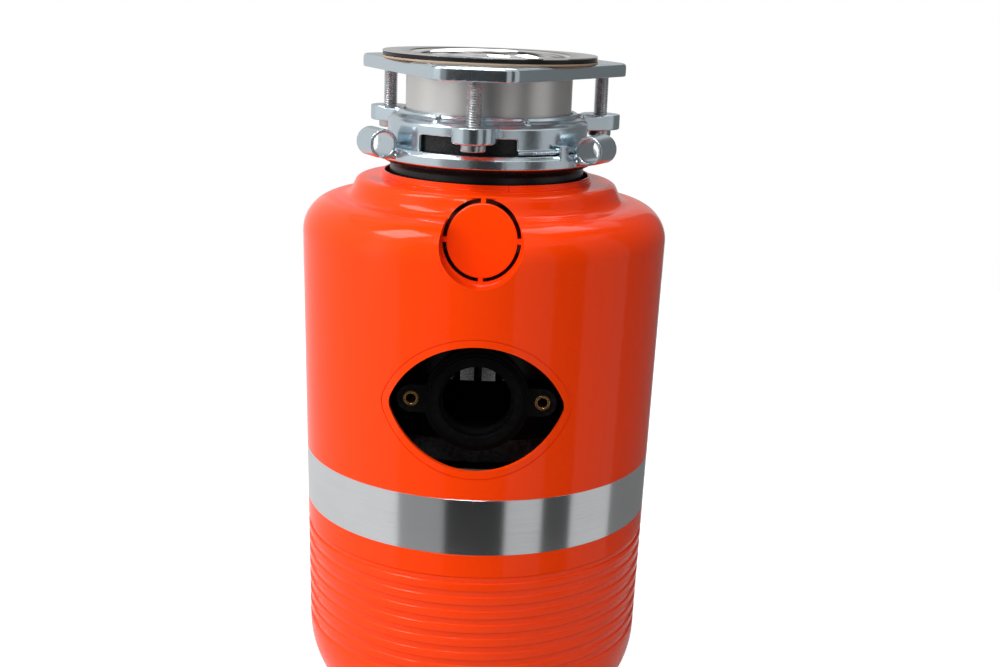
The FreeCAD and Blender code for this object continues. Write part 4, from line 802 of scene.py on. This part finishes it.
# a strip round the joint, with a fine seam at the front
def makeTrimBand():
    low, high = bandLow.z + band["trim"], bandHigh.z - band["trim"]
    edge, inset = band["edge"], band["inset"]
    profile = [(taperRadius(low) - edge, low), (taperRadius(low) - inset, low + edge)]
    profile += ladder(low + 3, high - 3, 3, inset)
    profile += [(taperRadius(high) - inset, high - edge), (taperRadius(high) - edge, high),
                (taperRadius(high) - band["sheet"], high), (taperRadius(low) - band["sheet"], low)]
    strip = lathe("trimBandStrip", profile, materials["brushed_band"], band["segments"], None)
    middle = (low + high) / 2
    x, y = circlePoint(taperRadius(middle), band["seamTurn"])
    carve(strip, [boxAt("seamCut", (x, y, middle), (band["seam"], band["seamDeep"] * 2, high - low + 4),
                        band["seamTurn"])])
    shade(strip, 28)
    return place(strip, "trim_band")


makeUpperHousing()
makeLowerHousing()
makeTrimBand()
print("housings ready")


flange = {"radius": 57, "sheet": 0.8, "bend": 6.5, "sleeve": 44.3, "low": 334, "grooveLow": 336.7,
          "grooveHigh": 339.7, "grooveDeep": 0.7, "grooveSoft": 0.3, "edge": 0.15, "rimSoft": 0.3,
          "rimEdge": 0.08, "rimBevel": 0.12, "segments": 300}


def makeFlange():
    size = flange
    top, sheet, lip = rimTop, size["sheet"], size["sleeve"] + size["bend"]
    bend = top - sheet - size["bend"]
    inner = size["sleeve"] - sheet
    sleeve, low, edge, soft = (size[key] for key in ("sleeve", "low", "edge", "grooveSoft"))
    grooveLow, grooveHigh, grooveDeep = (size[key] for key in ("grooveLow", "grooveHigh", "grooveDeep"))
    rim, rimEdge, rimBevel = (size[key] for key in ("radius", "rimEdge", "rimBevel"))
    profile = [(rim - size["rimSoft"], top), (lip + 3, top)]
    profile += arcPoints(lip, bend, size["bend"] + sheet, 90, 180)
    profile += [(inner, z) for z in np.linspace(bend - 3, grooveHigh + 1, 6)]
    profile += [(inner - grooveDeep, grooveHigh), (inner - grooveDeep, grooveLow), (inner, grooveLow - 1),
                (inner, low + edge), (inner + edge, low), (sleeve - edge, low), (sleeve, low + edge),
                (sleeve, grooveLow), (sleeve - grooveDeep, grooveLow + soft),
                (sleeve - grooveDeep, grooveHigh - soft), (sleeve, grooveHigh)]
    profile += [(sleeve, z) for z in np.linspace(grooveHigh + 4, bend - 2, 6)]
    profile += arcPoints(lip, bend, size["bend"], 180, 90)
    profile += [(rim - 0.35, top - sheet), (rim - rimEdge, top - sheet + rimBevel), (rim, top - sheet / 2),
                (rim - rimEdge, top - rimBevel)]
    dish = lathe("sinkFlangeDish", profile, materials["polished_steel"], size["segments"], 30)
    dish.data.materials.append(materials["satinSteel"])
    for face in dish.data.polygons:
        onSleeve = face.center.z < (bend + 1) * mm
        outward = face.normal.x * face.center.x + face.normal.y * face.center.y > 0
        face.material_index = 1 if onSleeve and outward else 0
    return place(dish, "sink_flange")


# name, node, slot, bore radius, outer radius, edge rounding
rings = [("rimGasketRing", "rim_gasket", "black_rubber", 51, 56.8, 0.3),
         ("fibreGasketRing", "fibre_gasket", "tan_fibre", 48.3, 57, 0.25)]


def makeRing(name, node, slot, inner, outer, soft, segments=240):
    low, high = nodeBox(node)
    return place(ringWall(name, inner, outer, low.z, high.z, materials[slot], soft, segments), node)


collar = {"bore": 46.3, "footHigh": 3.5, "slopeHigh": 2.2, "slopeWide": 1.8, "round": 1.2, "topRound": 0.8,
          "segments": 240}


def makeCollar():
    low, high = nodeBox("neck_collar")
    outer, bore = high.x, collar["bore"]
    profile = rounded([(bore, low.z), (outer - 0.1, low.z), (outer, low.z + collar["footHigh"]),
                       (outer, high.z - collar["slopeHigh"], collar["round"]),
                       (outer - collar["slopeWide"], high.z - 0.1, collar["topRound"]), (bore, high.z)])
    rubber = lathe("neckCollarRubber", profile, materials["black_rubber"], collar["segments"], 40)
    return place(rubber, "neck_collar")


makeFlange()
for ring in rings:
    makeRing(*ring)
makeCollar()


screws = {"circle": 68.2, "radius": 3.9, "pitch": 1.25, "depth": 0.5, "headRadius": 6.3, "headHigh": 3.6,
          "turns": (-5, 115, -125), "slotWide": 1.4, "slotDeep": 1.3, "headSoft": 0.3, "headBevel": 0.9,
          "tipLong": 0.8, "tipIn": 0.7, "segments": 48, "runOut": 2.6, "threadStart": 0.9}


def makeScrew(number, turn):
    name = f"mounting_screw_{number}"
    low, high = nodeBox(name)
    core = screws["radius"] - screws["depth"]
    shankHigh = high.z - (low.z + screws["headHigh"])
    head, headHigh, soft, bevel = (screws[key] for key in ("headRadius", "headHigh", "headSoft", "headBevel"))
    tip = headHigh + shankHigh
    profile = [(0.0, 0.0), (head - bevel, 0.0), (head - soft, soft), (head, bevel), (head, headHigh - soft),
               (head - soft, headHigh), (core, headHigh + 0.02), (core, tip - screws["tipLong"]),
               (core - screws["tipIn"], tip), (0.0, tip)]
    verts, faces, segments = [], [], screws["segments"]
    for k in range(segments):
        angle = 2 * math.pi * k / segments
        verts += [(r * math.cos(angle), r * math.sin(angle), z) for r, z in profile[1:-1]]
    count = len(profile) - 2
    bottom, top = len(verts), len(verts) + 1
    verts += [(0, 0, profile[0][1]), (0, 0, profile[-1][1])]
    for k in range(segments):
        a, b = k * count, ((k + 1) % segments) * count
        faces += [(a + i, b + i, b + i + 1, a + i + 1) for i in range(count - 1)]
        faces += [(bottom, b, a), (top, a + count - 1, b + count - 1)]
    body = newObject(f"screwBody{number}", verts, faces, materials["screw_steel"], None)
    fixNormals(body)
    slotCut = boxAt("slotCut", (0, 0, 0), (head * 3, screws["slotWide"], screws["slotDeep"] * 2))
    carve(body, [slotCut])
    turns = (shankHigh - screws["runOut"]) / screws["pitch"]
    thread = newObject("threadSeed", [], [], None, None)
    grow(thread, threadTree, Radius=(screws["radius"] - 0.02) * mm, Pitch=screws["pitch"] * mm, Turns=turns,
         Depth=screws["depth"] * mm, Material=materials["screw_steel"])
    thread.data.transform(Matrix.Translation((0, 0, (headHigh + screws["threadStart"]) * mm)))
    fixNormals(thread)
    whole = joinInto(f"mountingScrew{number}", [body, thread])
    x, y = circlePoint(screws["circle"], turn)
    whole.data.transform(Matrix.Translation((x * mm, y * mm, low.z * mm)))
    shade(whole, 30)
    return place(whole, name)


for number, turn in enumerate(screws["turns"], start=1):
    makeScrew(number, turn)


# a CAD node with its corners softened as if cast or pressed, and parts that stay crisp
def softened(name, node, voxel, rounds, parts=(), slot="zinc_plate"):
    obj = copyOf(name, node)
    obj.data.materials.append(materials[slot])
    remesh = obj.modifiers.new("remesh", "REMESH")
    remesh.mode = "VOXEL"
    remesh.voxel_size = voxel * mm
    smooth = obj.modifiers.new("smooth", "SMOOTH")
    smooth.factor, smooth.iterations = cast["factor"], rounds
    thin = obj.modifiers.new("thin", "DECIMATE")
    thin.ratio = cast["keep"]
    bake(obj)
    if not obj.data.materials:
        obj.data.materials.append(materials[slot])
    shade(obj, None)
    if parts:
        obj = joinInto(name, [obj, *parts])
    return place(obj, node)


teeth = {"count": 12, "start": 25.6, "end": 41.9, "radius": 56.2, "height": 325.1, "wide": 0.75, "deep": 0.7,
         "high": 1.3}


# the fine serrations under one lock ramp
def rampTeeth(third):
    seed = boxAt("rampTooth", (0, -teeth["radius"], teeth["height"]),
                 (teeth["wide"], teeth["deep"], teeth["high"]))
    base = newObject(f"rampTeeth{third}", [], [], None, None)
    pitch = (teeth["end"] - teeth["start"]) / (teeth["count"] - 1)
    return repeated(base, seed, teeth["count"], materials["zinc_plate"], turn=teeth["start"] + 120 * third,
                    step=pitch)


# voxel size and smoothing rounds of each piece; the rest is shared
cast = {"plate": (0.45, 30), "ring": (0.42, 20), "swivel": (0.42, 6), "factor": 0.5, "keep": 0.45}
softened("backupFlangePressing", "backup_flange", *cast["plate"])
softened("mountingRingCasting", "mounting_ring", *cast["ring"], [rampTeeth(third) for third in range(3)])
softened("swivelRingPressing", "swivel_ring", *cast["swivel"])
print("mount ready")


inserts = {"radius": 3.95, "bore": 2.6, "long": 8, "ribs": 28, "ribDeep": 0.22, "ribWide": 0.42,
           "ribShort": 0.6, "boreSoft": 0.3, "soft": 0.2, "out": 33.2, "front": 79.8, "segments": 56}


# knurled brass sleeves for the elbow screws
def makeInserts():
    parts = []
    bore, long, soft = inserts["bore"], inserts["long"], inserts["soft"]
    root = inserts["radius"] - inserts["ribDeep"]
    outline = rounded([(bore, 0, inserts["boreSoft"]), (root, 0, soft), (root, long, soft),
                       (bore, long, inserts["boreSoft"])])
    for side in (-1, 1):
        sleeve = lathe("sleeve", outline, materials["brass"], inserts["segments"], 30)
        rib = boxAt("knurl", (0, -root, long / 2),
                    (inserts["ribWide"], inserts["ribDeep"] * 2, long - inserts["ribShort"]))
        rib.data.materials.append(materials["brass"])
        repeated(sleeve, rib, inserts["ribs"], materials["brass"], step=360 / inserts["ribs"])
        spot = Vector((side * inserts["out"], -inserts["front"], window["height"])) * mm
        sleeve.data.transform(Matrix.Translation(spot) @ Matrix.Rotation(math.radians(-90), 4, "X"))
        parts.append(sleeve)
    group = joinInto("outletInsertPair", parts)
    shade(group, 30)
    return place(group, "outlet_inserts")


makeInserts()
print("outlet ready")


studio = {"floor": (0.55, 0.55, 0.56), "floorSize": 2.4, "floorGlow": 0.75, "world": (1.0, 1.0, 1.0),
          "seen": 1.0, "ambient": 0.42, "leftAmbient": 0.78, "rightAmbient": 0.14, "mirrorDark": 0.05,
          "mirrorLight": 0.8, "roomStretch": (1.0, 1.0, 0.35), "roomScale": 2.6}


def makeFloor():
    material = bpy.data.materials.new("paleFloor")
    material.use_nodes = True
    tree = material.node_tree
    shader = tree.nodes["Principled BSDF"]
    spot = tree.nodes.new("ShaderNodeTexCoord").outputs["Object"]
    noise = addNode(tree, "ShaderNodeTexNoise", Vector=spot, Scale=6.0)
    rough = addNode(tree, "ShaderNodeMapRange", Value=noise.outputs["Fac"], n3=0.6, n4=0.7)
    tree.links.new(rough.outputs[0], shader.inputs["Roughness"])
    shader.inputs["Base Color"].default_value = (*studio["floor"], 1)
    shader.inputs["Emission Color"].default_value = (1, 1, 1, 1)
    seen = tree.nodes.new("ShaderNodeLightPath").outputs["Is Camera Ray"]
    tree.links.new(addMath(tree, "MULTIPLY", seen, studio["floorGlow"]), shader.inputs["Emission Strength"])
    half = studio["floorSize"] / 2
    mesh = bpy.data.meshes.new("studioFloor")
    corners = [(-half, -half, 0), (half, -half, 0), (half, half, 0), (-half, half, 0)]
    mesh.from_pydata(corners, [], [(0, 1, 2, 3)])
    mesh.materials.append(material)
    floor = bpy.data.objects.new("studioFloor", mesh)
    bpy.context.scene.collection.objects.link(floor)


# walls by name, first and last turn in degrees, and brightness
cards = {"radius": 0.3, "high": 0.5, "step": 3, "walls": [
    ("leftWall", -150, -43, 0.68), ("leftDesk", -43, -16, 0.28), ("darkFront", -16, 17, 0.03),
    ("rightWindow", 17, 38, 0.46), ("darkGap", 38, 56, 0.06), ("rightWall", 56, 87, 0.50),
    ("farRight", 87, 145, 0.17), ("backWall", 145, 210, 0.5)]}


# a curved wall round the machine that only mirror-like surfaces see
def makeCard(name, first, last, glow):
    material = bpy.data.materials.new(name)
    material.use_nodes = True
    shader = material.node_tree.nodes["Principled BSDF"]
    shader.inputs["Base Color"].default_value = (0, 0, 0, 1)
    shader.inputs["Specular IOR Level"].default_value = 0
    shader.inputs["Emission Color"].default_value = (1, 1, 1, 1)
    shader.inputs["Emission Strength"].default_value = glow
    turns = np.linspace(first, last, int((last - first) / cards["step"]) + 1)
    spots = [circlePoint(cards["radius"], turn) for turn in turns]
    verts = [(x, y, 0) for x, y in spots] + [(x, y, cards["high"]) for x, y in spots]
    count = len(spots)
    mesh = bpy.data.meshes.new(name)
    mesh.from_pydata(verts, [], [(i, i + 1, i + 1 + count, i + count) for i in range(count - 1)])
    mesh.materials.append(material)
    card = bpy.data.objects.new(name, mesh)
    bpy.context.scene.collection.objects.link(card)
    for ray in ("camera", "diffuse", "transmission", "volume_scatter", "shadow"):
        setattr(card, f"visible_{ray}", False)


# white to the camera, brighter from the left for matt surfaces, a dim room for glossy ones
def makeWorld():
    world = bpy.data.worlds.new("studioWorld")
    bpy.context.scene.world = world
    world.use_nodes = True
    tree = world.node_tree
    back = tree.nodes["Background"]
    ambient = studio["ambient"]
    path = tree.nodes.new("ShaderNodeLightPath")
    heading = tree.nodes.new("ShaderNodeTexCoord").outputs["Generated"]
    upright = addNode(tree, "ShaderNodeVectorMath", n0=heading, n1=studio["roomStretch"])
    upright.operation = "MULTIPLY"
    room = addNode(tree, "ShaderNodeTexNoise", Vector=upright.outputs[0], Scale=studio["roomScale"],
                   Detail=1.0)
    mirrored = addNode(tree, "ShaderNodeMapRange", Value=room.outputs["Fac"], n1=0.38, n2=0.62,
                       n3=studio["mirrorDark"] - ambient, n4=studio["mirrorLight"] - ambient)
    glossy = addMath(tree, "MULTIPLY", path.outputs["Is Glossy Ray"], mirrored.outputs[0])
    seen = addMath(tree, "MULTIPLY", path.outputs["Is Camera Ray"], studio["seen"] - ambient)
    side = addNode(tree, "ShaderNodeSeparateXYZ", Vector=heading)
    lean = addNode(tree, "ShaderNodeMapRange", Value=side.outputs["X"], n1=-1.0, n2=1.0,
                   n3=studio["leftAmbient"] - ambient, n4=studio["rightAmbient"] - ambient)
    soft = addMath(tree, "MULTIPLY", path.outputs["Is Diffuse Ray"], lean.outputs[0])
    strength = addMath(tree, "ADD", addMath(tree, "ADD", addMath(tree, "ADD", glossy, seen), soft), ambient)
    back.inputs["Color"].default_value = (*studio["world"], 1)
    tree.links.new(strength, back.inputs["Strength"])


def addLamp(name, spot, aim, wide, high, power, colour=(1, 1, 1)):
    light = bpy.data.lights.new(name, "AREA")
    light.shape = "RECTANGLE"
    light.size, light.size_y = wide, high
    light.energy = power
    light.color = colour
    lamp = bpy.data.objects.new(name, light)
    lamp.location = spot
    lamp.rotation_euler = (Vector(aim) - Vector(spot)).to_track_quat("-Z", "Y").to_euler()
    bpy.context.scene.collection.objects.link(lamp)
    return lamp


# name, place, aim, width, height, power, colour
lamps = [
    ("keyLamp", (-0.85, -0.22, 1.25), (0, 0, 0.25), 0.42, 0.8, 9.0, (1, 1, 1)),
    ("leftLamp", (-1.5, -0.6, 0.5), (0, 0, 0.2), 0.5, 1.1, 9.0, (1, 1, 1)),
    ("frontLamp", (-0.35, -1.3, 2.1), (0, 0, 0.2), 0.9, 0.6, 24.0, (1, 1, 1)),
    ("topLamp", (0.2, 0.5, 1.4), (0, 0, 0.3), 0.8, 0.6, 4.0, (1, 1, 1)),
]
makeFloor()
makeWorld()
for card in cards["walls"]:
    makeCard(*card)
for lamp in lamps:
    addLamp(*lamp)

camera = {"lens": 48.363, "spot": (0.0105, -0.7263, 0.4051), "down": 14.418, "roll": 2.095}
shot = bpy.data.cameras.new("productCamera")
shot.lens = camera["lens"]
shot.clip_start = 0.01
viewer = bpy.data.objects.new("productCamera", shot)
viewer.matrix_world = (Matrix.Translation(camera["spot"])
                       @ Matrix.Rotation(math.radians(90 - camera["down"]), 4, "X")
                       @ Matrix.Rotation(math.radians(camera["roll"]), 4, "Z"))
bpy.context.scene.collection.objects.link(viewer)
bpy.context.scene.camera = viewer
bpy.context.scene.view_settings.view_transform = "Standard"

print("scene ready")
